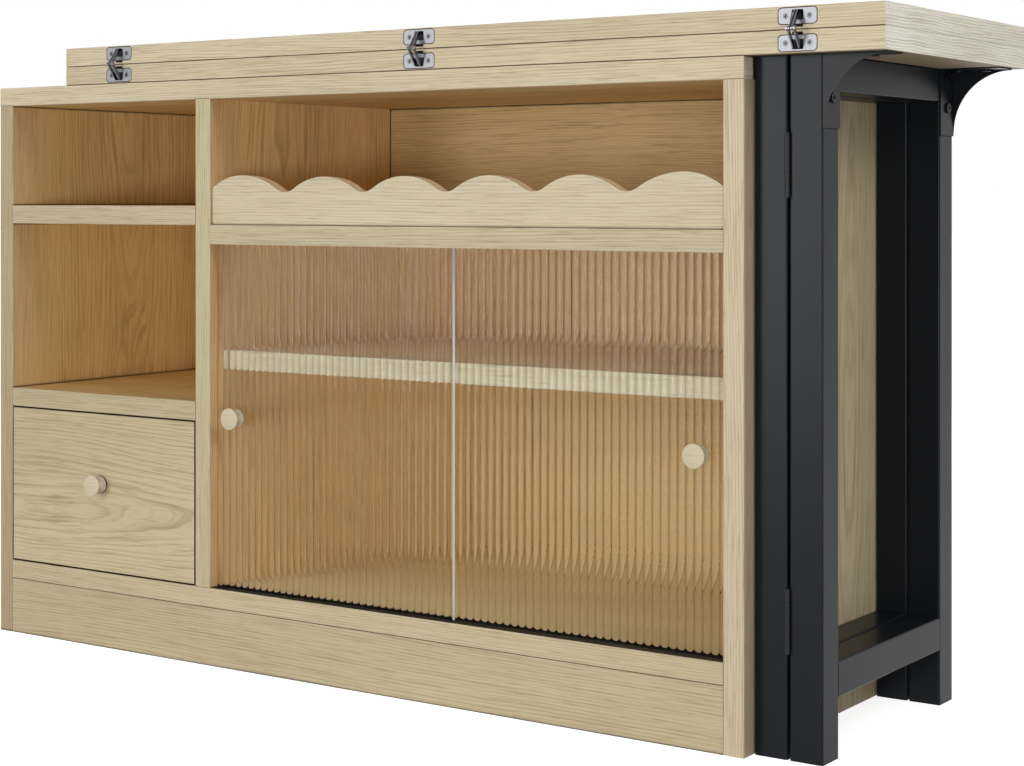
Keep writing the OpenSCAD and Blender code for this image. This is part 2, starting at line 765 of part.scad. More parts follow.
// a C section that opens toward +X, with lips
module lipped_c(x0, x1, half) {
  t = slide_t;
  lip = half - slide_lip;
  polygon([[x0, -half], [x1, -half], [x1, -lip], [x1 - t, -lip], [x1 - t, t - half],
    [x0 + t, t - half], [x0 + t, half - t], [x1 - t, half - t], [x1 - t, lip], [x1, lip],
    [x1, half], [x0, half]]);
}

// the inner member opens toward the cabinet, and its lips turn outward
module inner_section() {
  t = slide_t;
  x0 = slide_inner_x;
  out = inner_half + slide_inner_lip;
  polygon([[slide_w, -inner_half], [slide_w, inner_half], [x0 + t, inner_half], [x0 + t, out],
    [x0, out], [x0, inner_half - t], [slide_w - t, inner_half - t], [slide_w - t, t - inner_half],
    [x0, t - inner_half], [x0, -out], [x0 + t, -out], [x0 + t, -inner_half]]);
}

module glide_sections() {
  outer_x1 = slide_outer_w - slide_t - 2 * glide_gap;
  inner_x0 = slide_inner_x + slide_t + glide_gap;
  for (up = [0, 1]) mirror([0, up]) {
    translate([slide_mid_x, mid_half]) square([outer_x1 - slide_mid_x, glide_h - glide_gap]);
    translate([inner_x0, inner_half + glide_gap])
      square([slide_mid_end - slide_t - inner_x0, glide_h - glide_gap]);
  }
}

// places a section, drawn from the cabinet's wall toward the drawer, on both sides of the drawer
module both_slides() {
  translate([x_left, y_slide + slide_l, z_slide]) rotate([90, 0, 0]) linear_extrude(slide_l) children();
  translate([x_divider, y_slide + slide_l, z_slide]) mirror([1, 0, 0]) rotate([90, 0, 0])
    linear_extrude(slide_l) children();
}

module at_outer_screws_left() {
  for (y = slide_screw_ys) aim([x_left + slide_t, y, z_slide], "x-") children();
}
module at_outer_screws_right() {
  for (y = slide_screw_ys) aim([x_divider - slide_t, y, z_slide], "x+") children();
}
module at_inner_screws_left() {
  for (y = slide_screw_ys) aim([x_side_l - slide_t, y, z_slide], "x+") children();
}
module at_inner_screws_right() {
  for (y = slide_screw_ys) aim([x_divider - slide_w + slide_t, y, z_slide], "x-") children();
}
module slide_screw() pan_screw(slide_screw_d, slide_screw_l, slide_screw_head_d, slide_screw_head_h);
module slide_hole() pan_hole(slide_screw_d, slide_screw_l);
module slide_holes_left() at_outer_screws_left() slide_hole();
module slide_holes_right() at_outer_screws_right() slide_hole();

module slide_outer() color(STEEL) placed() difference() {
  both_slides() lipped_c(0, slide_outer_w, outer_half);
  slide_holes_left();
  slide_holes_right();
}

module slide_middle() color(STEEL) placed() both_slides()
  lipped_c(slide_mid_x, slide_mid_end, mid_half);

module slide_glides() color(BLACK) placed() both_slides() glide_sections();

module slide_inner() color(STEEL) placed() difference() {
  both_slides() inner_section();
  at_inner_screws_left() slide_hole();
  at_inner_screws_right() slide_hole();
}

module slide_screws_cabinet() color(STEEL) placed() {
  at_outer_screws_left() slide_screw();
  at_outer_screws_right() slide_screw();
}

module slide_screws_drawer() color(STEEL) placed() {
  at_inner_screws_left() slide_screw();
  at_inner_screws_right() slide_screw();
}

// ---- drawer ----

z_wall_top = z_wall + drawer_wall_h;
z_drawer_bottom = z_wall + drawer_bottom_z;
y_drawer_end = y_slide + slide_l - slide_back;
y_drawer_back = y_drawer_end - drawer_wall_t;
FRONT = [[x_left + drawer_gap, 0, z_bottom + drawer_gap],
  [bay_w - 2 * drawer_gap, drawer_front_t, drawer_bay_h - 2 * drawer_gap]];
wall_zs = row(z_wall + drawer_dowel_edge, z_wall_top - drawer_dowel_edge, 2);
x_walls = [x_side_l + drawer_wall_t / 2, x_side_r + drawer_wall_t / 2];
x_knob = (x_left + x_divider) / 2;

// dowels along Y into the front, and along X through the sides into the back
module drawer_dowel_set(l0, d) {
  for (z = wall_zs) {
    for (x = x_walls)
      rod_y([x, drawer_front_t - drawer_dowel_in - l0, z], drawer_dowel_l + 2 * l0, d);
    rod_x([x_side_l, (y_drawer_back + y_drawer_end) / 2, z], drawer_dowel_l + l0, d);
    rod_x([x_side_r + drawer_wall_t - drawer_dowel_l - l0, (y_drawer_back + y_drawer_end) / 2, z],
      drawer_dowel_l + l0, d);
  }
}
module drawer_dowels() color(KNOB_WOOD) placed() drawer_dowel_set(0, drawer_dowel_d);
module drawer_dowel_holes() drawer_dowel_set(dowel_room, drawer_dowel_d + 2 * fit);

// the groove around the drawer for its bottom
module drawer_groove() {
  g = groove_d;
  box([x_side_l + drawer_wall_t - g, drawer_front_t - g, z_drawer_bottom - groove_fit],
    [x_side_r + g, y_drawer_back + g, z_drawer_bottom + drawer_bottom_t + groove_fit]);
}

module drawer_front() color(WOOD) placed() difference() {
  board_x(FRONT);
  drawer_dowel_holes();
  drawer_groove();
  rod_y([x_knob, -eps, drawer_knob_z], drawer_front_t + 2 * eps, knob_screw_d + 2 * fit);
}

module drawer_side(x) difference() {
  box([x, drawer_front_t, z_wall], [x + drawer_wall_t, y_drawer_end, z_wall_top]);
  drawer_dowel_holes();
  drawer_groove();
}
module drawer_side_left() color(WOOD) placed() difference() {
  drawer_side(x_side_l);
  at_inner_screws_left() slide_hole();
}
module drawer_side_right() color(WOOD) placed() difference() {
  drawer_side(x_side_r);
  at_inner_screws_right() slide_hole();
}

module drawer_back() color(WOOD) placed() difference() {
  box([x_side_l + drawer_wall_t, y_drawer_back, z_wall], [x_side_r, y_drawer_end, z_wall_top]);
  drawer_dowel_holes();
  drawer_groove();
}

module drawer_bottom() color(WOOD) placed() {
  g = groove_d - groove_fit;
  box([x_side_l + drawer_wall_t - g, drawer_front_t - g, z_drawer_bottom],
    [x_side_r + g, y_drawer_back + g, z_drawer_bottom + drawer_bottom_t]);
}

// ---- knobs ----

// a mushroom knob: the base at Z 0, the head toward +Z, a blind hole for the screw in the base
neck_top = knob_l - knob_dome - knob_rim;
neck_low = knob_base_t * 2;
knob_outline = [[0, 0], [knob_base_d / 2, 0], [knob_base_d / 2, knob_base_t - ease],
  [knob_base_d / 2 - ease, knob_base_t], [knob_neck_d / 2 + ease, neck_low - ease],
  [knob_neck_d / 2, neck_low + ease], [knob_neck_d / 2, neck_low + 2 * knob_rim],
  [knob_neck_d / 2 + 2 * ease, neck_top - knob_rim], [knob_d / 2 - ease, neck_top],
  [knob_d / 2, neck_top + ease], [knob_d / 2, neck_top + knob_rim - ease],
  [knob_d / 2 - ease, neck_top + knob_rim], [knob_d / 4, knob_l - knob_dome / 4], [0, knob_l]];

module knob() difference() {
  rotate_extrude() polygon(knob_outline);
  translate([0, 0, -eps])
    cylinder(h = knob_screw_in + dowel_room + eps, d = knob_screw_d + 2 * fit);
}

module drawer_knob() color(KNOB_WOOD) placed() aim([x_knob, 0, drawer_knob_z], "y-") knob();

module drawer_knob_screw() color(STEEL) placed() aim([x_knob, drawer_front_t, drawer_knob_z], "y-")
  pan_screw(knob_screw_d, drawer_front_t + knob_screw_in, screw_head_d, screw_head_h);

// ---- glass doors ----

y_rear_glass = glass_y + glass_t + glass_gap;
y_channels = glass_y - channel_gap - track_t;
y_channels_end = y_rear_glass + glass_t + channel_gap + track_t;
track_sunk = channel_low + track_t - track_top;
z_glass = z_bottom + track_top - channel_low + glass_lift;
z_glass_top = rack_z + glass_in;
glass_h = z_glass_top - z_glass;
glass_w = (right_bay_w + glass_overlap) / 2 - glass_end;
x_glass_l = x_bay + glass_end;
x_glass_r = x_right - glass_end - glass_w;
x_knob_l = x_bay + door_knob_in;
x_knob_r = x_right - door_knob_in;

// the channels of the two panes, from one depth to another, in a track's section
module channels(z0, z1) {
  w = glass_t + 2 * channel_gap;
  for (y = [glass_y, y_rear_glass]) translate([y - channel_gap, z0]) square([w, z1 - z0]);
}

module along_bay() translate([x_bay, 0, 0]) rotate([90, 0, 90]) linear_extrude(right_bay_w) children();

module door_track_bottom() color(BLACK) placed() along_bay() difference() {
  union() {
    translate([track_y, z_bottom])
      square([y_channels_end + track_rear - track_y, track_top]);
    translate([y_channels, z_bottom - track_sunk])
      square([y_channels_end - y_channels, track_sunk + track_top]);
  }
  channels(z_bottom + track_top - channel_low, z_bottom + track_top + track_t);
}

module door_track_top() color(BLACK) placed() along_bay() difference() {
  translate([y_channels, rack_z]) square([y_channels_end - y_channels, channel_high + track_t]);
  channels(rack_z - track_t, rack_z + channel_high);
}

// how deep the glass face lies under the flutes' crests, at a distance x from the pane's edge
flute_r = (pow(flute_pitch / 2, 2) + flute_depth * flute_depth) / (2 * flute_depth);
function flute(x) =
  let (u = x / flute_pitch, v = (u - floor(u) - 0.5) * flute_pitch)
  flute_r - sqrt(flute_r * flute_r - v * v);

flute_step = flute_pitch / flute_steps;
flute_edge = concat(
  [for (i = [0 : floor(glass_w / flute_step)]) [i * flute_step, flute(i * flute_step)]],
  [[glass_w, flute(glass_w)]]);

module pane(x, y, knob_x) difference() {
  translate([x, y, z_glass]) linear_extrude(glass_h)
    polygon(concat([[glass_w, glass_t], [0, glass_t]], flute_edge));
  aim([knob_x, y + glass_t, door_knob_z], "y-")
    flat_hole(knob_screw_d, glass_t, flush_head_d, flush_head_h);
}

module door_glass_left() color(GLASS) placed() pane(x_glass_l, glass_y, x_knob_l);
module door_glass_right() color(GLASS) placed() pane(x_glass_r, y_rear_glass, x_knob_r);
module door_knob_left() color(KNOB_WOOD) placed() aim([x_knob_l, glass_y, door_knob_z], "y-") knob();
module door_knob_right() color(KNOB_WOOD) placed() aim([x_knob_r, y_rear_glass, door_knob_z], "y-")
  knob();

module door_screw(x, y) aim([x, y + glass_t, door_knob_z], "y-")
  flat_screw(knob_screw_d, glass_t + knob_screw_in, flush_head_d, flush_head_h);
module door_knob_screw_left() color(STEEL) placed() door_screw(x_knob_l, glass_y);
module door_knob_screw_right() color(STEEL) placed() door_screw(x_knob_r, y_rear_glass);

// ---- table guides ----

// a C channel with its slot down: outer width and height, from the leaf's underside up
module guide_section() {
  w = guide_w / 2;
  difference() {
    translate([-w, 0]) square([guide_w, guide_h]);
    translate([guide_t - w, guide_t]) square([guide_w - 2 * guide_t, guide_h - 2 * guide_t]);
    translate([-guide_slot / 2, -eps]) square([guide_slot, guide_t + 2 * eps]);
  }
}

module guide_channels() color(ALU) placed() for (y = GUIDE_YS)
  translate([leaf_in + guide_start, y, z_leaf]) rotate([90, 0, 90]) linear_extrude(guide_l)
    guide_section();

module runner_section() {
  head = guide_w - 2 * guide_t - 2 * runner_gap;
  neck_h = runner_head_z - cab_h;
  translate([-runner_neck / 2, 0]) square([runner_neck, neck_h + eps]);
  translate([-head / 2, neck_h]) square([head, runner_top_z - runner_head_z]);
}

module table_runners() color(BLACK) placed() difference() {
  for (y = GUIDE_YS)
    translate([x_runner, y, cab_h]) rotate([90, 0, 90]) linear_extrude(runner_l) runner_section();
  runner_screw_holes();
}

// ---- fold hinges ----

// a rectangle with round corners, in the middle of the sheet
module round_rect(w, h, r) {
  square([w - 2 * r, h], center = true);
  square([w, h - 2 * r], center = true);
  for (x = [r - w / 2, w / 2 - r]) for (y = [r - h / 2, h / 2 - r]) translate([x, y]) circle(r = r);
}

// turns a drawing of a leaf's edge, +Y away from the seam, toward a leaf above (1) or below (-1)
module on_edge(x, up, depth) {
  translate([x, 0, z_seam]) mirror([0, 0, (1 - up) / 2]) translate([0, depth, 0]) rotate([90, 0, 0])
    linear_extrude(depth) children();
}

module at_plate_screws(up) {
  for (x = FOLD_XS) for (s = [-plate_screw_x, plate_screw_x])
    aim([x + s, 0, z_seam + up * plate_z], "y+") children();
}

module slot_shape() translate([-pocket_half, slot_near]) square([2 * pocket_half, pocket_far - slot_near]);

module dish_shape() {
  near = plate_z - plate_h / 2;
  wide = plate_screw_x - plate_screw_head_d / 2 - plate_gap;
  polygon([[-wide, near - eps], [wide, near - eps], [pocket_half, pocket_far],
    [-pocket_half, pocket_far]]);
}

module fold_plates(up) difference() {
  for (x = FOLD_XS) on_edge(x, up, plate_t) translate([0, plate_z]) round_rect(plate_w, plate_h, plate_r);
  for (x = FOLD_XS) {
    on_edge(x, up, plate_t + eps) slot_shape();
    translate([0, -eps, 0]) on_edge(x, up, plate_dish + eps) dish_shape();
    translate([0, -eps, 0]) on_edge(x, up, plate_t) slot_shape();
  }
  at_plate_screws(up)
    flat_hole(plate_screw_d, plate_screw_l, plate_screw_head_d, plate_screw_head_h);
}

module fold_screws(up) at_plate_screws(up)
  flat_screw(plate_screw_d, plate_screw_l, plate_screw_head_d, plate_screw_head_h);

// what the hinges take out of a leaf's front edge
module fold_cuts(up) {
  for (x = FOLD_XS) {
    translate([0, -eps, 0]) on_edge(x, up, plate_t + eps) translate([0, plate_z])
      round_rect(plate_w + 2 * plate_gap, plate_h + 2 * plate_gap, plate_r + plate_gap);
    translate([0, -eps, 0]) on_edge(x, up, pocket_d + eps)
      translate([-pocket_half, pocket_near])
        square([2 * pocket_half, pocket_far - pocket_near]);
  }
  at_plate_screws(up) pan_hole(plate_screw_d, plate_screw_l);
}

module fold_plates_lower() color(CHROME) placed() fold_plates(-1);
module fold_plates_upper() color(CHROME) placed() fold_plates(1);
module fold_screws_lower() color(CHROME) placed() fold_screws(-1);
module fold_screws_upper() color(CHROME) placed() fold_screws(1);

// an arm from its end on a plate to the knuckle, drawn in Y and Z around the seam, with a heel
// that bears on the plate
module arm_shape(up) {
  run = [arm_y - knee_y, -arm_z];
  mirror([0, (1 - up) / 2]) difference() {
    union() {
      translate([-arm_y, arm_z]) {
        circle(r = arm_r);
        rotate(atan2(run.y, run.x)) translate([0, -arm_r]) square([norm(run), 2 * arm_r]);
      }
      translate([-arm_y, arm_z]) square([arm_y - heel_y, heel_z - arm_z]);
      translate([-knee_y, 0]) circle(r = knee_r);
    }
    translate([-knee_y, 0]) circle(d = knee_pin_d + 2 * fit);
  }
}

inner_arm_x = arm_gap * 2;
outer_arm_x = inner_arm_x + arm_t + arm_gap;
pin_half = outer_arm_x + arm_t + fit;

module arms(up, x_in) {
  for (x = FOLD_XS) for (side = [x_in, -x_in - arm_t])
    translate([x + side, 0, z_seam]) rotate([90, 0, 90]) linear_extrude(arm_t) arm_shape(up);
}
module fold_arms_upper() color(CHROME) placed() arms(1, inner_arm_x);
module fold_arms_lower() color(CHROME) placed() arms(-1, outer_arm_x);

module fold_pins() color(CHROME) placed() for (x = FOLD_XS) {
  rod_x([x - pin_half, -knee_y, z_seam], 2 * pin_half, knee_pin_d);
  for (side = [pin_half, -pin_half - knee_head_t])
    rod_x([x + side, -knee_y, z_seam], knee_head_t, knee_head_d);
}

// ---- leaves ----

x_post_mid = x_frame + tube / 2;
y_front_mid = frame_y + tube / 2;
y_rear_mid = y_frame_end - tube / 2;
frame_screw_ys = row(frame_y + tube + frame_screw_end, y_frame_end - tube - frame_screw_end,
  frame_screws_n);
bracket_screw_zs = [z_leaf - bracket_screw_z, z_leaf - bracket_screw_z - bracket_screw_pitch];
bracket_screw_xs = [x_frame_end + bracket_screw_x, x_frame_end + bracket_screw_x + bracket_screw_run];

module at_frame_screws() {
  for (y = frame_screw_ys) aim([x_post_mid, y, z_leaf - tube_t], "z+") children();
  for (y = [y_front_mid, y_rear_mid]) {
    for (x = bracket_screw_xs) aim([x, y, z_leaf - bracket_t], "z+") children();
    for (z = bracket_screw_zs) aim([x_frame_end + bracket_t, y, z], "x-") children();
  }
}
module frame_screws() color(BLACK) placed() at_frame_screws()
  pan_screw(frame_screw_d, frame_screw_l, frame_screw_head_d, frame_screw_head_h);
module frame_screw_holes() at_frame_screws() pan_hole(frame_screw_d, frame_screw_l);

module lower_leaf() color(WOOD) placed() difference() {
  board_x(LEAF_LOW);
  fold_cuts(-1);
  frame_screw_holes();
  for (y = GUIDE_YS)
    box([leaf_in + guide_start - fit, y - guide_w / 2 - fit, z_leaf - eps],
      [leaf_in + guide_start + guide_l + fit, y + guide_w / 2 + fit, z_leaf + guide_h + fit]);
}

module upper_leaf() color(WOOD) placed() difference() {
  board_x(LEAF_HIGH);
  fold_cuts(1);
}

// ---- frames ----

// a post: a square tube that caps close at its top and at the floor
module post(x, y, h) difference() {
  translate([x + tube / 2, y + tube / 2, 0]) linear_extrude(h) round_rect(tube, tube, tube_r);
  box([x + tube_t, y + tube_t, tube_t], [x + tube - tube_t, y + tube - tube_t, h - tube_t]);
}

// a rail: a square tube between the posts
module rail(x, z) difference() {
  translate([x + tube / 2, y_frame_end - tube, z + tube / 2]) rotate([90, 0, 0])
    linear_extrude(y_frame_end - frame_y - 2 * tube) round_rect(tube, tube, tube_r);
  box([x + tube_t, frame_y + tube - eps, z + tube_t],
    [x + tube - tube_t, y_frame_end - tube + eps, z + tube - tube_t]);
}

module frame_posts() color(SLATE) placed() difference() {
  for (y = [frame_y, y_frame_end - tube]) post(x_frame, y, z_leaf);
  frame_screw_holes();
  butt_holes("x+");
}

module frame_rails() color(SLATE) placed() difference() {
  for (z = [frame_rail_z, z_leaf - tube]) rail(x_frame, z);
  frame_screw_holes();
  for (y = frame_screw_ys) rod_z([x_post_mid, y, z_leaf - tube - eps], tube_t + 2 * eps, access_d);
}

z_gate = z_leaf - gate_drop;
module gate_posts() color(SLATE) placed() difference() {
  for (y = [frame_y, y_frame_end - tube]) post(x_gate, y, z_gate);
  butt_holes("x-");
}
module gate_rails() color(SLATE) placed() for (z = [frame_rail_z, z_gate - tube]) rail(x_gate, z);

// a bracket of bent sheet: a flange on the post, a flange under the leaf and a web with a hollow edge
module bracket(y_web) {
  box([x_frame_end, y_web.y, z_leaf - bracket_t],
    [x_frame_end + bracket_reach, y_web.y + tube, z_leaf]);
  box([x_frame_end, y_web.y, z_leaf - bracket_h],
    [x_frame_end + bracket_t, y_web.y + tube, z_leaf]);
  translate([x_frame_end, y_web.x + bracket_t, z_leaf]) rotate([90, 0, 0])
    linear_extrude(bracket_t) difference() {
      translate([0, -bracket_h]) square([bracket_reach, bracket_h]);
      translate([bracket_reach, -bracket_t - bracket_r - ease]) circle(r = bracket_r);
      translate([bracket_t, -bracket_h - eps])
        square([bracket_reach, bracket_h - bracket_t - bracket_r - ease + eps]);
    }
}
module bracket_front() color(BLACK) placed() difference() {
  bracket([frame_y, frame_y]);
  frame_screw_holes();
}
module bracket_rear() color(BLACK) placed() difference() {
  bracket([y_frame_end - bracket_t, y_frame_end - tube]);
  frame_screw_holes();
}

// ---- butt hinges between the frames ----

BUTT_ZS = [butt_low_z, z_leaf - butt_high_z];
knuckle_l = barrel_l / knuckles;
half_slit = frame_gap / 2;
butt_screw_zs = row(butt_screw_end - barrel_l / 2, barrel_l / 2 - butt_screw_end, butt_screws_n);

// one leaf with its knuckles: the odd ones on the frame's side (1), the even ones on the gate's (-1)
module butt_leaf(side) {
  first = side > 0 ? 0 : 1;
  bore = butt_pin_d + 2 * fit;
  for (z = BUTT_ZS) translate([x_barrel, y_barrel, z - barrel_l / 2]) {
    x0 = side > 0 ? half_slit - butt_t : -half_slit;
    translate([x0, barrel_y + knuckle_gap, 0]) cube([butt_t, butt_w, barrel_l]);
    for (i = [first : 2 : knuckles - 1]) translate([0, 0, i * knuckle_l + knuckle_gap / 2])
      difference() {
        union() {
          cylinder(h = knuckle_l - knuckle_gap, d = barrel_d);
          translate([x0, barrel_d / 4, 0])
            cube([butt_t, barrel_y + butt_t, knuckle_l - knuckle_gap]);
        }
        translate([0, 0, -eps]) cylinder(h = knuckle_l, d = bore);
      }
  }
}

module at_butt_screws(way) {
  x = way == "x+" ? x_barrel + half_slit - butt_t : x_barrel - half_slit + butt_t;
  for (z = BUTT_ZS) for (s = butt_screw_zs)
    aim([x, frame_y + butt_w * 0.6, z + s], way) children();
}
module butt_holes(way) at_butt_screws(way)
  flat_hole(butt_screw_d, butt_screw_l, butt_screw_head_d, butt_t);
module butt_screws(way) at_butt_screws(way)
  flat_screw(butt_screw_d, butt_screw_l, butt_screw_head_d, butt_t);

module butt_leaves_table() color(BLACK) placed() difference() {
  butt_leaf(1);
  butt_holes("x+");
}
module butt_leaves_gate() color(BLACK) placed() difference() {
  butt_leaf(-1);
  butt_holes("x-");
}
module butt_screws_table() color(BLACK) placed() butt_screws("x+");
module butt_screws_gate() color(BLACK) placed() butt_screws("x-");
module butt_pins() color(BLACK) placed() for (z = BUTT_ZS)
  rod_z([x_barrel, y_barrel, z - barrel_l / 2], barrel_l, butt_pin_d);

side_panel_left();
side_panel_right();
top_board();
divider_panel();
bottom_board();
kick_board();
back_panel();
shelf_upper_left();
shelf_lower_left();
rack_shelf();
bottle_rail();
inner_shelf();
shelf_pins();
door_track_bottom();
door_track_top();
cabinet_dowels();
cabinet_screws();
slide_outer();
slide_screws_cabinet();
table_runners();
slide_middle();
slide_glides();
drawer_front();
drawer_side_left();
drawer_side_right();
drawer_back();
drawer_bottom();
drawer_dowels();
drawer_knob();
drawer_knob_screw();
slide_inner();
slide_screws_drawer();
door_glass_left();
door_knob_left();
door_knob_screw_left();
door_glass_right();
door_knob_right();
door_knob_screw_right();
lower_leaf();
guide_channels();
frame_posts();
frame_rails();
frame_screws();
bracket_front();
bracket_rear();
fold_plates_lower();
fold_screws_lower();
butt_leaves_table();
butt_screws_table();
gate_posts();
gate_rails();
butt_leaves_gate();
butt_screws_gate();
butt_pins();
upper_leaf();
fold_plates_upper();
fold_screws_upper();
fold_arms_upper();
fold_arms_lower();
fold_pins();
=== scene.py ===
"""Kitchen table with a storage cabinet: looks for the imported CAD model. All sizes are in metres."""
import math

import bpy
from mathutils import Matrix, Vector

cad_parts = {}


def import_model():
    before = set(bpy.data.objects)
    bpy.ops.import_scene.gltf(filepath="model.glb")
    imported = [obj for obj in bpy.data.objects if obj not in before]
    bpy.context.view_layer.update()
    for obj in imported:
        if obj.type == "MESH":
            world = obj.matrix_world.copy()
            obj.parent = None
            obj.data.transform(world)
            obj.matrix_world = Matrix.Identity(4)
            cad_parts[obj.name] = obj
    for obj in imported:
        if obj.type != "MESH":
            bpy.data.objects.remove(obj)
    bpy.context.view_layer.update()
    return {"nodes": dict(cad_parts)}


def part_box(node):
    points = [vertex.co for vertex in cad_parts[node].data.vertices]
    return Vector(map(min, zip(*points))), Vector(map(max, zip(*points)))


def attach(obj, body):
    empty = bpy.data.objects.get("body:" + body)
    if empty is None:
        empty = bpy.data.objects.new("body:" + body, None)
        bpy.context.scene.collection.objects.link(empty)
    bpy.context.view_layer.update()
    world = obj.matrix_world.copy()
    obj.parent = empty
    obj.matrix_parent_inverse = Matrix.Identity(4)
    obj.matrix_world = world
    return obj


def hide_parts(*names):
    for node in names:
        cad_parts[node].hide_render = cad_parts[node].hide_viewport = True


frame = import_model()
NODES = frame["nodes"]


# ---------------------------------------------------------------- small helpers

def lowest(node):
    return Vector(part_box(node)[0])


def highest(node):
    return Vector(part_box(node)[1])


def times(a, b):
    """Two colours multiplied channel by channel."""
    return tuple(x * y for x, y in zip(a, b))


def scene_object(name, data):
    obj = bpy.data.objects.new(name, data)
    bpy.context.scene.collection.objects.link(obj)
    return obj


def mesh_object(name, verts, faces, smooth=True):
    mesh = bpy.data.meshes.new(name)
    mesh.from_pydata(verts, [], faces)
    mesh.update()
    for polygon in mesh.polygons:
        polygon.use_smooth = smooth
    return scene_object(name, mesh)


def paint(obj, material):
    obj.data.materials.clear()
    obj.data.materials.append(material)


# ---------------------------------------------------------------- node trees

CREVICE_SAMPLES = 6


class Nodes:
    """A node tree with short ways to add nodes. A value is a number, a colour or a socket."""

    def __init__(self, tree):
        self.tree = tree

    def add(self, kind, **values):
        """A new node; Base_Color and the like name its sockets."""
        node = self.tree.nodes.new("ShaderNode" + kind)
        self.set(node, **values)
        return node

    def feed(self, socket, value):
        """Link a socket to another one, or give it a fixed value."""
        if isinstance(value, bpy.types.NodeSocket):
            self.tree.links.new(value, socket)
        elif socket.type == "RGBA":
            socket.default_value = (*value, 1)
        else:
            socket.default_value = value

    def set(self, node, **values):
        for key, value in values.items():
            self.feed(node.inputs[key.replace("_", " ")], value)

    def fill(self, node, *values):
        """Feed a node's first sockets in their order; its first output."""
        for socket, value in zip(node.inputs, values):
            self.feed(socket, value)
        return node.outputs[0]

    def math(self, operation, a, b=0.0, c=0.0, clamp=False):
        node = self.add("Math")
        node.operation = operation
        node.use_clamp = clamp
        return self.fill(node, a, b, c)

    def multiply(self, a, b):
        return self.math("MULTIPLY", a, b)

    def subtract(self, a, b):
        return self.math("SUBTRACT", a, b)

    def larger(self, a, b):
        return self.math("MAXIMUM", a, b)

    def absolute(self, value):
        return self.math("ABSOLUTE", value)

    def line(self, value, gain, offset):
        """gain * value + offset."""
        return self.math("MULTIPLY_ADD", value, gain, offset)

    def step(self, value, gain, offset):
        """gain * value + offset, kept between 0 and 1."""
        return self.math("MULTIPLY_ADD", value, gain, offset, clamp=True)

    def seen(self):
        """1 for the rays that show something to the camera: straight, mirrored or through glass."""
        light = self.add("LightPath").outputs
        return self.larger(light["Is Camera Ray"],
                           self.larger(light["Is Glossy Ray"], light["Is Transmission Ray"]))


class Shader(Nodes):
    """A material, with a Principled shader as its surface at first."""

    def __init__(self, name):
        self.material = bpy.data.materials.new(name)
        self.material.use_nodes = True
        super().__init__(self.material.node_tree)
        self.tree.nodes.clear()
        self.output = self.add("OutputMaterial")
        self.body = self.add("BsdfPrincipled")
        self.show(self.body.outputs[0])

    def show(self, shader):
        """Make a shader the material's surface."""
        self.set(self.output, Surface=shader)

    def blend(self, factor, first, second):
        """Two shaders mixed: the first at 0, the second at 1."""
        return self.fill(self.add("MixShader"), factor, first, second)

    def split(self, coordinate):
        """The three parts of one of the object's own coordinates."""
        coords = self.add("TexCoord")
        return self.add("SeparateXYZ", Vector=coords.outputs[coordinate]).outputs

    def join(self, x, y):
        return self.fill(self.add("CombineXYZ"), x, y)

    def place(self, scale=(1, 1, 1), offset=(0, 0, 0)):
        """The object's own coordinates, stretched and moved."""
        coords = self.add("TexCoord")
        mapping = self.add("Mapping", Vector=coords.outputs["Object"], Scale=scale, Location=offset)
        return mapping.outputs[0]

    def noise(self, vector, detail=2.0, roughness=0.5, scale=1.0):
        node = self.add("TexNoise", Vector=vector, Scale=scale, Detail=detail, Roughness=roughness)
        return node.outputs[0]

    def ramp(self, factor, *stops):
        """A colour that runs between two stops, each a position and a colour."""
        node = self.add("ValToRGB", Fac=factor)
        for element, (position, color) in zip(node.color_ramp.elements, stops):
            element.position = position
            element.color = (*color, 1)
        return node.outputs["Color"]

    def mix(self, factor, a, b, blend="MIX"):
        """Two colours mixed: a at 0, b at 1."""
        node = self.add("Mix")
        node.data_type = "RGBA"
        node.blend_type = blend
        # A mix of colours has these of the node's sockets for its own
        for number, value in ((0, factor), (6, a), (7, b)):
            self.feed(node.inputs[number], value)
        return node.outputs[2]

    def bump(self, height, strength, distance):
        node = self.add("Bump", Height=height, Strength=strength, Distance=distance)
        self.set(self.body, Normal=node.outputs[0])

    def crevice(self, reach, full, none, own=False):
        """Ambient occlusion for painted shade: 1 deep in a joint or an inner corner, 0 on open
        faces; own leaves other pieces out.

        full and none say how open a place still is where this gets to 1, and where it gets to 0.
        """
        node = self.add("AmbientOcclusion", Distance=reach)
        node.samples = CREVICE_SAMPLES
        node.only_local = own
        return self.math("DIVIDE", self.subtract(none, node.outputs["AO"]), none - full, clamp=True)


# ---------------------------------------------------------------- ash boards

AXES = "XYZ"
FRONT = "-Y"

# Colours: the ground, the rings' late wood, the pores and the cut ends
PALE = (0.630, 0.540, 0.378)
LINE = (0.325, 0.242, 0.118)
PORE = (0.300, 0.220, 0.110)
END = (0.860, 0.835, 0.745)

# Painted shade in the gaps between pieces and in inner corners, and the colour of the grey
# metal lining in the hinges' mortises
WOOD_GAP_SHADE = (0.022, 0.015, 0.009)
CUP = (0.170, 0.170, 0.175)

# Wide soft clouds: where their noise is low and high, and what that does to the colour
CLOUD_LOW = (0.3, (0.925, 0.905, 0.875))
CLOUD_HIGH = (0.7, (1.045, 1.045, 1.05))

# Waves per metre across the grain and along it, and of the lines' strength along it alone
SWAY = (5.5, 0.9)
WOBBLE = (30.0, 5.0)
FIBRES = (760.0, 26.0)
CLOUDS = (10.0, 1.7)
LINE_WAVES = 5.0

# How far sway and wobble move the rings, what of the sway cut ends go without, and how much a
# metre of the tree tapers
SWAY_REACH = 0.045
WOBBLE_REACH = 0.0042
CALM_ENDS = 0.85
TAPER = 0.006

# Late wood: how it rises over the year, how round that is, and how fast it ends
LATE_RISE = (1.8, -0.8)
LATE_CURVE = 1.4
LATE_END = 11.0

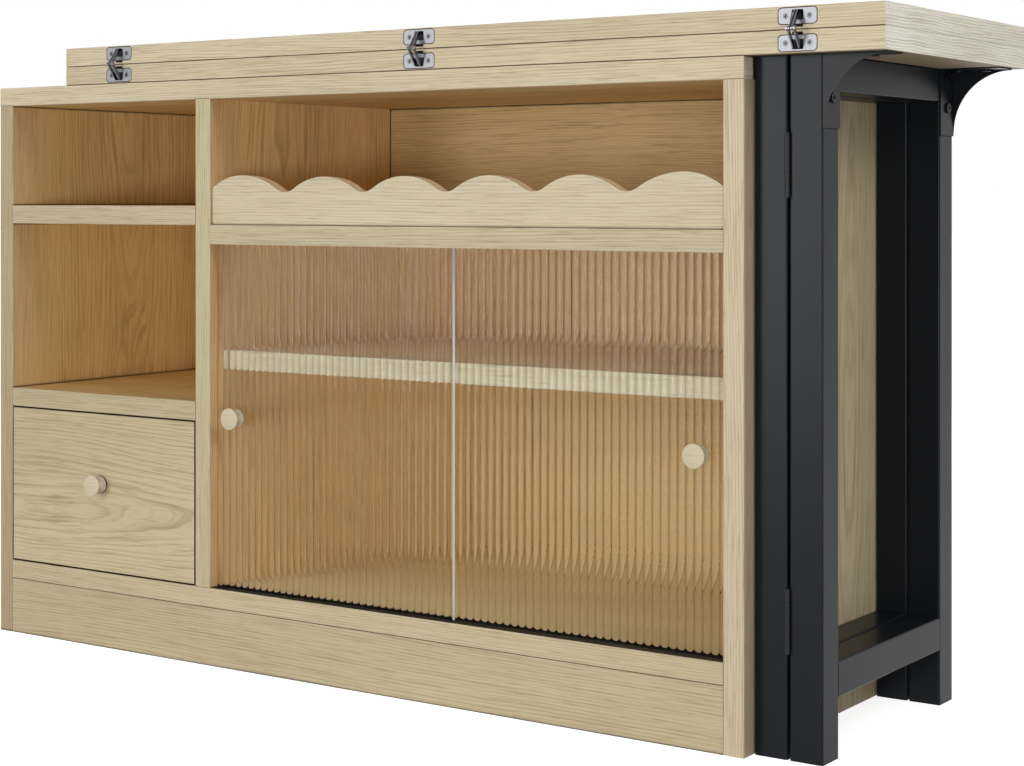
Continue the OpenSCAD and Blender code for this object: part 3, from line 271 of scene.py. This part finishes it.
# Waves per ring: of the late wood's strong and weak turns, and of the thin lines, which also
# change faster along the grain
TURN_WAVES = 0.55
THIN_WAVES = 2.3
THIN_ALONG = 1.6

# Gain and offset that turn a noise into lines, and the part of each kind that is seen
TURNS = (3.4, -1.05)
THIN_LINES = (7.0, -3.65)
PORES = (9.0, -5.3)
LATE_PART = 0.76
THIN_PART = 0.54
PORE_PART = 0.42

# Gain and offset for a normal: of faces square to an axis, and of the faces that take painted
# light or shade
SQUARE = (10.0, -8.0)
FACING = (5.0, -3.0)

# Painted light on a face is dimmed near the front by SHADE, a painted shade, which fades over
# this depth. It sets in over the first twelfth of that depth.
FADE = 0.07
FADE_ENTRY = 12.0
SHADE = (0.80, 0.76, 0.86)

# Mortises begin about half a millimetre under the board's own faces: gain and offset
MORTISE = (2500.0, -1.15)

# Painted shade in gaps and inner corners: its reach, and how open a place is where it is full
# and where it ends
WOOD_GAP_SHADE_REACH = (0.0038, 0.64, 0.86)

# The surface: strength and depth of the pores' and lines' relief
GRAIN_RELIEF = (-0.16, 0.0004)

# Each board's pattern starts somewhere else
SEED_STEPS = (1.37, 2.11, 0.73)


class Ash(Shader):
    """The ash of one board. axes names the axis of the grain and then the wide one."""

    def __init__(self, node, axes, seed):
        super().__init__("wood_" + node)
        self.grain, self.wide = [AXES.index(axis) for axis in axes]
        self.thick = 3 - self.grain - self.wide
        self.low = lowest(node)
        self.high = highest(node)
        self.centre = (self.low + self.high) / 2
        self.start = [seed * step for step in SEED_STEPS]
        self.point = self.split("Object")
        self.normal = self.split("Normal")
        self.cut_end = self.square_to(self.grain)

    def square_to(self, axis):
        """1 on the faces square to an axis, 0 on the others."""
        return self.step(self.absolute(self.normal[axis]), *SQUARE)

    def streaks(self, waves, detail=1.0, roughness=0.5, wave=1.0):
        """Noise drawn out along the grain."""
        scale = [waves[0]] * 3
        scale[self.grain] = waves[1] * wave
        return self.noise(self.place(scale, self.start), detail, roughness)

    def ring_count(self, ring, depth, heart, wave):
        """How many rings lie between the tree's heart and a point of the board."""
        on_face = self.subtract(1.0, self.larger(self.cut_end, self.square_to(self.wide)))
        across = self.subtract(self.point[self.wide], self.centre[self.wide] + heart)
        across = self.multiply(across, on_face)
        under = self.subtract(self.point[self.thick], self.centre[self.thick] - depth)
        squares = self.math("ADD", self.multiply(across, across), self.multiply(under, under))
        radius = self.line(self.point[self.grain], TAPER, self.math("SQRT", squares))
        calm = self.line(self.cut_end, -CALM_ENDS, 1.0)
        sway = self.streaks(SWAY, roughness=0.4, wave=wave)
        radius = self.line(sway, self.multiply(calm, SWAY_REACH * wave), radius)
        wobble = self.streaks(WOBBLE, detail=2.0, roughness=0.55, wave=wave)
        radius = self.line(wobble, WOBBLE_REACH, radius)
        return self.math("DIVIDE", radius, ring)

    def ring_lines(self, count):
        """The late wood that ends each ring, strong and weak by turns, and thin lines between."""
        along = self.line(self.point[self.wide], self.cut_end, self.point[self.grain])
        along = self.multiply(along, LINE_WAVES)
        part = self.math("FRACT", count)
        rise = self.math("POWER", self.step(part, *LATE_RISE), LATE_CURVE)
        fall = self.math("MULTIPLY", self.subtract(1.0, part), LATE_END, clamp=True)
        by_turns = self.join(self.multiply(count, TURN_WAVES), along)
        turns = self.step(self.noise(by_turns, roughness=0.6), *TURNS)
        late = self.multiply(self.multiply(rise, fall), turns)
        between = self.join(self.multiply(count, THIN_WAVES), self.multiply(along, THIN_ALONG))
        thin = self.step(self.noise(between, detail=3.0, roughness=0.6), *THIN_LINES)
        return late, thin

    def with_painted_light(self, color, face, tint):
        """The colour with painted light or painted shade on one face, such as "+X", or on both
        faces of "|X".
        """
        side = self.normal[AXES.index(face[-1])]
        if face[0] == "-":
            side = self.multiply(side, -1.0)
        elif face[0] == "|":
            side = self.absolute(side)
        facing = self.step(side, *FACING)
        if face != FRONT:
            depth = self.subtract(self.point[1], self.low[1])
            behind = self.math("DIVIDE", depth, FADE, clamp=True)
            tint = self.mix(behind, times(tint, SHADE), tint)
            entry = self.math("MULTIPLY", behind, FADE_ENTRY, clamp=True)
            facing = self.multiply(facing, entry)
        return self.mix(facing, color, self.mix(1.0, color, tint, "MULTIPLY"))

    def mortises(self):
        """1 in what is cut into the board, 0 on its own faces."""
        depths = []
        for axis in range(3):
            half = (self.high[axis] - self.low[axis]) / 2
            off = self.absolute(self.subtract(self.point[axis], self.centre[axis]))
            depths.append(self.subtract(half, off))
        inmost = self.math("MINIMUM", depths[0], self.math("MINIMUM", depths[1], depths[2]))
        return self.step(inmost, *MORTISE)


def wood(node, axes, seed, faces=None, tone=(1.0, 1.0, 1.0), ring=0.0033, depth=0.11, heart=0.0,
         wave=1.0, end=0.15, contrast=1.0, pocket=False, own=False):
    """Plain-sawn ash: growth rings cut by a board whose grain runs along one axis.

    The tree's heart lies depth under the board's middle and heart to one side, and ring is the
    width of a year. faces gives some faces painted light or painted shade, wave makes the rings
    wander more, end bleaches the cut ends, contrast weakens or strengthens the lines, pocket lines
    the hinges' mortises with grey metal, and own leaves other pieces out of the painted shade in
    the joints.
    """
    s = Ash(node, axes, seed)
    late, thin = s.ring_lines(s.ring_count(ring, depth, heart, wave))
    fibres = s.streaks(FIBRES)
    pores = s.step(fibres, *PORES)
    line = times(LINE, tone)
    color = s.mix(s.multiply(s.cut_end, end), times(PALE, tone), END)
    color = s.mix(s.multiply(late, LATE_PART * contrast), color, line)
    color = s.mix(s.multiply(thin, THIN_PART * contrast), color, line)
    color = s.mix(s.multiply(pores, PORE_PART * contrast), color, PORE)
    color = s.mix(1.0, color, s.ramp(s.streaks(CLOUDS), CLOUD_LOW, CLOUD_HIGH), "MULTIPLY")
    # Painted light and painted shade on some faces
    for face, tint in (faces or {}).items():
        color = s.with_painted_light(color, face, tint)
    if pocket:
        color = s.mix(s.mortises(), color, CUP)
    # Painted shade: the colour goes dark in gaps and inner corners, where shade falls
    color = s.mix(s.crevice(*WOOD_GAP_SHADE_REACH, own), color, WOOD_GAP_SHADE)
    s.set(s.body, Base_Color=color, Roughness=0.55, Specular_IOR_Level=0.3)
    s.bump(s.math("ADD", s.math("ADD", fibres, thin), late), *GRAIN_RELIEF)
    return s.material


# Painted light on inner faces, warmer and brighter as bounce light makes them: upright ones,
# undersides and upper sides
PAINTED_WALL_LIGHT = (1.10, 0.91, 0.63)
PAINTED_UNDERSIDE_LIGHT = (1.52, 1.29, 0.87)
PAINTED_TOP_LIGHT = (1.18, 1.02, 0.77)

# Tones of the lower boards, darker as painted shade, and of the drawer's box and the dowels
LOWER_PAINTED_SHADE = (0.92, 0.91, 0.84)
INSIDE = (0.98, 0.96, 0.90)
DOWEL = (0.95, 0.92, 0.86)

# Each board's tone is its shade of ash, and on the left panel, the kick board, the drawer front and
# the lower boards it is also painted shade, darker where less light falls. Tints on inner faces and
# on the bottle rail's lip are painted warm light; those on fronts (FRONT) and on the right panel's
# outer face are painted shade
BOARDS = {
    "side_panel_left": dict(axes="ZY", tone=(0.85, 0.835, 0.73), wave=1.3, heart=0.03,
                            faces={"+X": (1.52, 1.28, 0.96), FRONT: (0.84, 0.81, 0.79)}),
    "side_panel_right": dict(axes="ZY", heart=0.05, own=True,
                             faces={"-X": PAINTED_WALL_LIGHT, "+X": (0.80, 0.78, 0.72)}),
    "top_board": dict(axes="XY", heart=-0.04, faces={"-Z": PAINTED_UNDERSIDE_LIGHT}),
    "divider_panel": dict(axes="ZY", tone=(0.97, 0.97, 0.92), wave=1.3, heart=-0.03, own=True,
                          faces={"|X": (1.45, 1.16, 0.80), FRONT: (0.93, 0.94, 0.89)}),
    "bottom_board": dict(axes="XY", tone=LOWER_PAINTED_SHADE, heart=0.04, faces={"+Z": (1.55, 1.50, 1.28)}),
    "kick_board": dict(axes="XZ", tone=(0.87, 0.86, 0.78), heart=-0.10),
    "back_panel": dict(axes="XZ", wave=1.4, heart=0.02, faces={FRONT: PAINTED_WALL_LIGHT}),
    "shelf_upper_left": dict(axes="XY", tone=(1.0, 1.0, 0.99), heart=0.03,
                             faces={"-Z": (1.52, 1.41, 1.08), "+Z": PAINTED_TOP_LIGHT,
                                    FRONT: (0.89, 0.89, 0.87)}),
    "shelf_lower_left": dict(axes="XY", tone=LOWER_PAINTED_SHADE, heart=-0.02,
                             faces={"|Z": (1.36, 1.15, 0.78), FRONT: (0.87, 0.87, 0.84)}),
    "rack_shelf": dict(axes="XY", tone=(0.96, 0.96, 0.94), heart=0.06,
                       faces={"-Z": PAINTED_UNDERSIDE_LIGHT, "+Z": PAINTED_TOP_LIGHT, FRONT: (0.91, 0.91, 0.89)}),
    "bottle_rail": dict(axes="XZ", tone=(1.0, 1.02, 1.01), wave=0.8, heart=0.13, contrast=0.75,
                        faces={"+Z": (1.75, 1.55, 1.24)}),
    "inner_shelf": dict(axes="XY", heart=-0.05, own=True, faces={"|Z": (1.50, 1.38, 1.10)}),
    "drawer_front": dict(axes="XZ", tone=(0.90, 0.89, 0.81), wave=1.4, heart=-0.02),
    "drawer_side_left": dict(axes="YZ", tone=INSIDE),
    "drawer_side_right": dict(axes="YZ", tone=INSIDE),
    "drawer_back": dict(axes="XZ", tone=INSIDE),
    "drawer_bottom": dict(axes="XY", tone=INSIDE),
    # The lower leaf's underside holds a painted shadow
    "lower_leaf": dict(axes="XY", heart=0.03, end=0.9, pocket=True,
                       faces={"-Z": (0.48, 0.41, 0.37)}),
    "upper_leaf": dict(axes="XY", heart=-0.04, end=0.9, pocket=True),
    "cabinet_dowels": dict(axes="XY", tone=DOWEL),
    "drawer_dowels": dict(axes="XY", tone=DOWEL),
}
for seed, (node, look) in enumerate(BOARDS.items(), 1):
    paint(NODES[node], wood(node, seed=seed, **look))


# ---------------------------------------------------------------- metal, paint and plastic

# Painted shade in gaps and inner corners: how open a place is where it is full and where it
# ends, and its colour on plain metal, on the fold hinges' plates and on paint
METAL_JOINT = (0.45, 0.80)
METAL_GAP_SHADE = (0.01, 0.01, 0.01)
PLATE_GAP_SHADE = (0.02, 0.02, 0.02)
COAT_GAP_SHADE = (0.0012, 0.0012, 0.0012)

# The fold hinges' plates: their faces, what lies a third of a millimetre or more behind them
# (gain and offset), and how far the painted shade in their gaps reaches
PLATE = (0.277, 0.282, 0.298)
DISH = (0.20, 0.205, 0.215)
DISH_DEPTH = (3000.0, -1.0)
PLATE_REACH = 0.002

# A plain finish: waves per metre and how much its roughness varies
FINISH_WAVES = 60.0
FINISH_SPREAD = 0.08

# Powder coat: waves per metre of its orange peel, their strength and depth, and the roughness
# in gaps
PEEL_WAVES = 900.0
PEEL_RELIEF = (0.06, 0.0003)
GAP_ROUGHNESS = 0.95


def plain(name, color, roughness, metallic=0.0, specular=0.5, reach=0.0):
    """One colour with a faint unevenness in the finish, and painted shade in recesses where a
    reach is given.
    """
    s = Shader(name)
    if reach:
        color = s.mix(s.crevice(reach, *METAL_JOINT), color, METAL_GAP_SHADE)
    waves = s.noise(s.place(), scale=FINISH_WAVES)
    uneven = s.line(waves, FINISH_SPREAD, roughness - FINISH_SPREAD / 2)
    s.set(s.body, Base_Color=color, Metallic=metallic, Roughness=uneven,
          Specular_IOR_Level=specular)
    return s.material


def hinge_plate(name, face_y):
    """Chrome that is darker in the pressed dish and in the slot, behind the plate's face, with
    painted shade in its gaps.
    """
    s = Shader(name)
    behind = s.step(s.subtract(s.split("Object")[1], face_y), *DISH_DEPTH)
    color = s.mix(behind, PLATE, DISH)
    color = s.mix(s.crevice(PLATE_REACH, *METAL_JOINT), color, PLATE_GAP_SHADE)
    s.set(s.body, Base_Color=color, Metallic=1.0, Roughness=0.50)
    return s.material


def painted(name, color, roughness, reach=0.003):
    """Satin powder coat with a very fine orange peel, rougher where two pieces meet and with
    painted shade there.
    """
    s = Shader(name)
    joint = s.crevice(reach, *METAL_JOINT)
    s.set(s.body, Base_Color=s.mix(joint, color, COAT_GAP_SHADE), Specular_IOR_Level=0.125,
          Roughness=s.line(joint, GAP_ROUGHNESS - roughness, roughness))
    s.bump(s.noise(s.place(), scale=PEEL_WAVES), *PEEL_RELIEF)
    return s.material


SLATE = painted("slate_paint", (0.0078, 0.0094, 0.0122), 0.30)
BLACK = painted("black_steel", (0.0078, 0.0090, 0.0110), 0.28)
HINGE = painted("black_hinge", (0.024, 0.025, 0.027), 0.30, 0.0007)
CHROME = plain("bright_chrome", (0.34, 0.345, 0.37), 0.24, metallic=1.0)
SCREW = plain("screw_chrome", (0.14, 0.143, 0.15), 0.45, metallic=1.0, reach=0.0012)
ARM = plain("arm_chrome", (0.17, 0.17, 0.18), 0.22, metallic=1.0)
ZINC = plain("zinc_steel", (0.50, 0.51, 0.53), 0.32, metallic=1.0)
ALUMINIUM = plain("guide_aluminium", (0.62, 0.63, 0.65), 0.35, metallic=1.0)
PLASTIC = plain("black_plastic", (0.006, 0.006, 0.006), 0.5, specular=0.2)

FINISHES = {
    SLATE: ("frame_posts", "frame_rails", "gate_posts", "gate_rails"),
    BLACK: ("bracket_front", "bracket_rear", "frame_screws"),
    HINGE: ("butt_leaves_table", "butt_leaves_gate", "butt_screws_table", "butt_screws_gate",
            "butt_pins"),
    SCREW: ("fold_screws_lower", "fold_screws_upper"),
    ARM: ("fold_arms_upper", "fold_arms_lower"),
    CHROME: ("fold_pins",),
    ZINC: ("shelf_pins", "cabinet_screws", "slide_outer", "slide_middle", "slide_inner",
           "slide_screws_cabinet", "slide_screws_drawer", "drawer_knob_screw",
           "door_knob_screw_left", "door_knob_screw_right"),
    ALUMINIUM: ("guide_channels",),
    PLASTIC: ("door_track_bottom", "door_track_top", "table_runners", "slide_glides"),
}
for material, names in FINISHES.items():
    for node in names:
        paint(NODES[node], material)
for node in ("fold_plates_lower", "fold_plates_upper"):
    paint(NODES[node], hinge_plate("chrome_" + node, lowest(node)[1]))


# ---------------------------------------------------------------- knobs

KNOB_TONE = (0.96, 0.98, 0.99)
KNOB_SIDES = 64

# The turned outline, from the base: a rounded foot, a neck between two hollows, a rim and a dome
FOOT = ((0.0, 0.0), (0.0104, 0.0), (0.0109, 0.0004), (0.011, 0.0012), (0.0108, 0.0019),
        (0.0101, 0.0024))
NECK_R = 0.007
LOWER_HOLLOW = (0.0028, 0.0034)
UPPER_HOLLOW = (0.0058, 0.0056)
UPPER_HOLLOW_START = 0.0098
RIM = (0.0013, 0.0014)
RIM_CENTRE = (0.0127, 0.0169)
DOME_R = 0.0125
DOME_RISE = 0.0012
KNOB_LENGTH = 0.0195
HOLLOW_STEPS = 8
RIM_STEPS = 6
DOME_STEPS = 8


def arc(centre, radii, start, end, steps):
    """Points on an ellipse's arc between two angles in degrees, both ends included."""
    points = []
    for i in range(steps + 1):
        a = math.radians(start + (end - start) * i / steps)
        points.append((centre[0] + radii[0] * math.cos(a), centre[1] + radii[1] * math.sin(a)))
    return points


def knob_outline():
    """Half outline of a mushroom knob: (radius, distance from the base)."""
    lower = (NECK_R + LOWER_HOLLOW[0], FOOT[-1][1] + LOWER_HOLLOW[1])
    upper = (NECK_R + UPPER_HOLLOW[0], UPPER_HOLLOW_START)
    points = [*FOOT,
              *arc(lower, LOWER_HOLLOW, -90, -180, HOLLOW_STEPS),
              *arc(upper, UPPER_HOLLOW, 180, 90, HOLLOW_STEPS),
              *arc(RIM_CENTRE, RIM, -90, 90, RIM_STEPS)]
    for i in range(1, DOME_STEPS + 1):
        part = 1 - i / DOME_STEPS
        points.append((DOME_R * part, KNOB_LENGTH - DOME_RISE * part ** 2))
    return points


def knob(node, body, seed):
    """A turned knob that replaces a CAD one; its axis points to -Y and its base lies on the front."""
    low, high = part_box(node)
    x = (low[0] + high[0]) / 2
    z = (low[2] + high[2]) / 2
    base = high[1]
    outline = knob_outline()
    verts = []
    for radius, out in outline[1:-1]:
        for k in range(KNOB_SIDES):
            a = 2 * math.pi * k / KNOB_SIDES
            verts.append((x + radius * math.cos(a), base - out, z + radius * math.sin(a)))
    last = len(verts) - KNOB_SIDES
    verts += [(x, base, z), (x, base - KNOB_LENGTH, z)]
    faces = []
    for k in range(KNOB_SIDES):
        n = (k + 1) % KNOB_SIDES
        for ring in range(0, last, KNOB_SIDES):
            faces.append((ring + k, ring + n, ring + KNOB_SIDES + n, ring + KNOB_SIDES + k))
        faces.append((n, k, len(verts) - 2))
        faces.append((last + k, last + n, len(verts) - 1))
    obj = mesh_object("turned_" + node, verts, faces)
    paint(obj, wood(node, "XZ", seed, tone=KNOB_TONE, ring=0.0024, heart=0.05, depth=0.03,
                    contrast=0.5))
    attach(obj, body)
    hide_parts(node)


knob("drawer_knob", "drawer", 31)
knob("door_knob_left", "door_left", 32)
knob("door_knob_right", "door_right", 33)


# ---------------------------------------------------------------- reeded panes

FLUTE_PITCH = 0.01065
FLUTE_DEPTH = 0.0021
FLUTE_STEPS = 14
FLUTE_R = (FLUTE_PITCH ** 2 / 4 + FLUTE_DEPTH ** 2) / (2 * FLUTE_DEPTH)

# Points closer than this are one and the same: two reeds meet in each valley
SAME_POINT = 1e-7

# Glass: its colour, the part of that left in the valleys as painted shade and where these lie
# (gain and offset), its index of refraction, and the part of it that has a gloss
GLASS = (0.95, 0.975, 0.965)
VALLEY_SHADE_PART = 0.78
VALLEY = (5.0, -1.5)
GLASS_IOR = 1.46
GLOSS_PART = 0.20

# Rays that go straight on: those that would be trapped, from this reflectance on, and those that
# light or that have passed both surfaces of one pane
TRAPPED = 0.98
TRAPPED_COLOR = (0.80, 0.82, 0.81)
CLEAR_COLOR = (0.985, 0.985, 0.98)
PANE_SURFACES = 2

# The black track as the reeds would show it, painted on the glass: its tone, how far over the
# track it ends, how much higher it is in the valleys, and how steeply it rises to them
PAINTED_TRACK = (0.008, 0.008, 0.008)
PAINTED_TRACK_END = 0.0004
PAINTED_TRACK_RISE = 0.0034
PAINTED_TRACK_CURVE = 2.2

# A pane's ground edges, with painted light: a dark painted reflection of the wood beside them,
# and a bright painted glow where the other pane ends
PAINTED_WOOD_REFLECTION = (0.45, 0.31, 0.17)
PAINTED_EDGE_GLOW = (0.86, 0.87, 0.86)


def clear_glass(name, start, painted_track_top):
    """Clear reeded glass with painted shade in the valleys; light and shadow rays pass it straight.

    So does a ray that has passed one pane, or that would be trapped by the flat back. start is the
    first reed's left side, and the third argument the top of the track: up to there, and a little
    higher in the valleys, the black track is painted on the glass as the reeds would show it.
    """
    s = Shader(name)
    point = s.split("Object")
    reeds = s.math("FRACT", s.math("DIVIDE", s.subtract(point[0], start), FLUTE_PITCH))
    valley = s.step(s.absolute(s.subtract(reeds, 0.5)), *VALLEY)
    tint = s.mix(valley, GLASS, tuple(VALLEY_SHADE_PART * c for c in GLASS))
    s.set(s.body, Base_Color=tint, Roughness=0.02, IOR=GLASS_IOR, Transmission_Weight=1.0)
    bent = s.add("BsdfRefraction", Color=tint, Roughness=0.0, IOR=GLASS_IOR)
    onward = s.add("BsdfTransparent", Color=TRAPPED_COLOR)
    fresnel = s.add("Fresnel", IOR=GLASS_IOR)
    trapped = s.math("GREATER_THAN", fresnel.outputs[0], TRAPPED)
    passing = s.blend(trapped, bent.outputs[0], onward.outputs[0])
    glass = s.blend(GLOSS_PART, passing, s.body.outputs[0])

    # Painted refraction: the black track below, as the reeds would show it
    rise = s.math("POWER", s.absolute(s.line(reeds, 2.0, -1.0)), PAINTED_TRACK_CURVE)
    under = s.math("LESS_THAN", point[2], s.line(rise, PAINTED_TRACK_RISE, painted_track_top))
    painted_track = s.add("BsdfDiffuse", Color=PAINTED_TRACK)
    with_painted_track = s.blend(under, glass, painted_track.outputs[0])

    light = s.add("LightPath").outputs
    lighting = s.larger(light["Is Shadow Ray"], light["Is Diffuse Ray"])
    second = s.math("GREATER_THAN", light["Transmission Depth"], PANE_SURFACES - 0.5)
    clear = s.add("BsdfTransparent", Color=CLEAR_COLOR)
    s.show(s.blend(s.larger(lighting, second), with_painted_track, clear.outputs[0]))
    return s.material


def reed_front(width):
    """The reeds' outline from above, from left to right: (along the pane, back from the crests)."""
    points = []
    for reed in range(math.ceil(width / FLUTE_PITCH)):
        start = reed * FLUTE_PITCH
        for i in range(FLUTE_STEPS + 1):
            x = min(start + i * FLUTE_PITCH / FLUTE_STEPS, width)
            off = x - start - FLUTE_PITCH / 2
            points.append((x, FLUTE_R - math.sqrt(FLUTE_R ** 2 - off * off)))
            if x == width:
                break
    return points


def pane(node, body, right_edge_light):
    """A pane with round reeds on its front and a flat back, within the box of the CAD pane."""
    low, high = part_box(node)
    front = reed_front(high[0] - low[0])
    verts = [(low[0] + x, low[1] + y, z) for x, y in front for z in (low[2], high[2])]
    back = len(verts)
    verts += [(low[0] + x, high[1], z) for x, _ in front for z in (low[2], high[2])]
    faces = []
    for i in range(len(front) - 1):
        a, b = 2 * i, 2 * i + 2
        if front[i + 1][0] - front[i][0] < SAME_POINT:
            continue
        faces.append((a, b, b + 1, a + 1))
        faces.append((back + a + 1, back + b + 1, back + b, back + a))
        faces.append((a, back + a, back + b, b))
        faces.append((a + 1, b + 1, back + b + 1, back + a + 1))
    last = back - 2
    faces.append((0, 1, back + 1, back))
    faces.append((last, back + last, back + last + 1, last + 1))
    obj = mesh_object("reeded_" + node, verts, faces, smooth=False)
    painted_track_top = highest("door_track_bottom")[2] + PAINTED_TRACK_END
    paint(obj, clear_glass("glass_" + node, low[0], painted_track_top))
    # The edge faces get painted light: a reflection of wood, or a glow
    for name, tone in (("left", PAINTED_WOOD_REFLECTION), ("right", right_edge_light)):
        obj.data.materials.append(plain("ground_" + name + "_" + node, tone, 0.5))
    obj.data.polygons[-2].material_index = 1
    obj.data.polygons[-1].material_index = 2
    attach(obj, body)
    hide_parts(node)


pane("door_glass_left", "door_left", PAINTED_EDGE_GLOW)
pane("door_glass_right", "door_right", PAINTED_WOOD_REFLECTION)


# ---------------------------------------------------------------- stage, light and camera

FLOOR_HALF = 30.0
FLOOR_TONE = (0.52, 0.52, 0.52)
FLOOR_GLOW = 0.82
AMBIENT = 0.40

# Each lamp's place, what it points at, its width and height, and its watts
LAMPS = {
    "key": ((1.9, -3.1, 0.38), (0.1, 0.0, 0.5), (1.6, 0.5), 34),
    "strip": ((-1.1, -3.2, 0.95), (0.3, 0.0, 0.55), (0.7, 1.8), 38),
    "side": ((2.6, -0.6, 2.2), (0.6, 0.0, 0.7), (0.9, 0.9), 23),
    "back": ((-0.9, 3.2, 1.5), (0.0, 0.2, 0.4), (1.8, 1.2), 34),
}

LENS = 71.82
SENSOR = 36.0
SHIFT = (0.00045, -0.1799)
EYE = (1.53565, -2.13928, 0.60109)
EYE_TURN = 34.43


def stage():
    """A floor that looks white and still shows the object's shadow."""
    corners = [(-1, -1), (1, -1), (1, 1), (-1, 1)]
    floor = mesh_object("floor", [(x * FLOOR_HALF, y * FLOOR_HALF, 0) for x, y in corners],
                        [(0, 1, 2, 3)], smooth=False)
    s = Shader("floor_white")
    s.set(s.body, Base_Color=FLOOR_TONE, Roughness=0.9)
    glow = s.add("Emission", Strength=s.multiply(s.seen(), FLOOR_GLOW))
    s.show(s.fill(s.add("AddShader"), s.body.outputs[0], glow.outputs[0]))
    paint(floor, s.material)


def world():
    """White surroundings, which give less light than they show."""
    studio = bpy.data.worlds.new("studio")
    bpy.context.scene.world = studio
    studio.use_nodes = True
    nodes = Nodes(studio.node_tree)
    strength = nodes.line(nodes.seen(), 1.0 - AMBIENT, AMBIENT)
    nodes.set(studio.node_tree.nodes["Background"], Color=(1, 1, 1), Strength=strength)


def lamp(name, place, target, size, watts):
    data = bpy.data.lights.new(name, "AREA")
    data.shape = "RECTANGLE"
    data.size, data.size_y = size
    data.energy = watts
    obj = scene_object(name, data)
    obj.location = place
    obj.rotation_euler = (Vector(target) - Vector(place)).to_track_quat("-Z", "Y").to_euler()


def camera():
    """A level camera in front on the right, turned to the left, with the horizon near the top."""
    data = bpy.data.cameras.new("camera")
    data.lens = LENS
    data.sensor_width = SENSOR
    data.shift_x, data.shift_y = SHIFT
    data.clip_end = 100
    obj = scene_object("camera", data)
    obj.location = EYE
    obj.rotation_euler = (math.radians(90), 0, math.radians(EYE_TURN))
    bpy.context.scene.camera = obj


stage()
world()
for name, setting in LAMPS.items():
    lamp(name, *setting)
camera()
bpy.context.scene.view_settings.view_transform = "Standard"
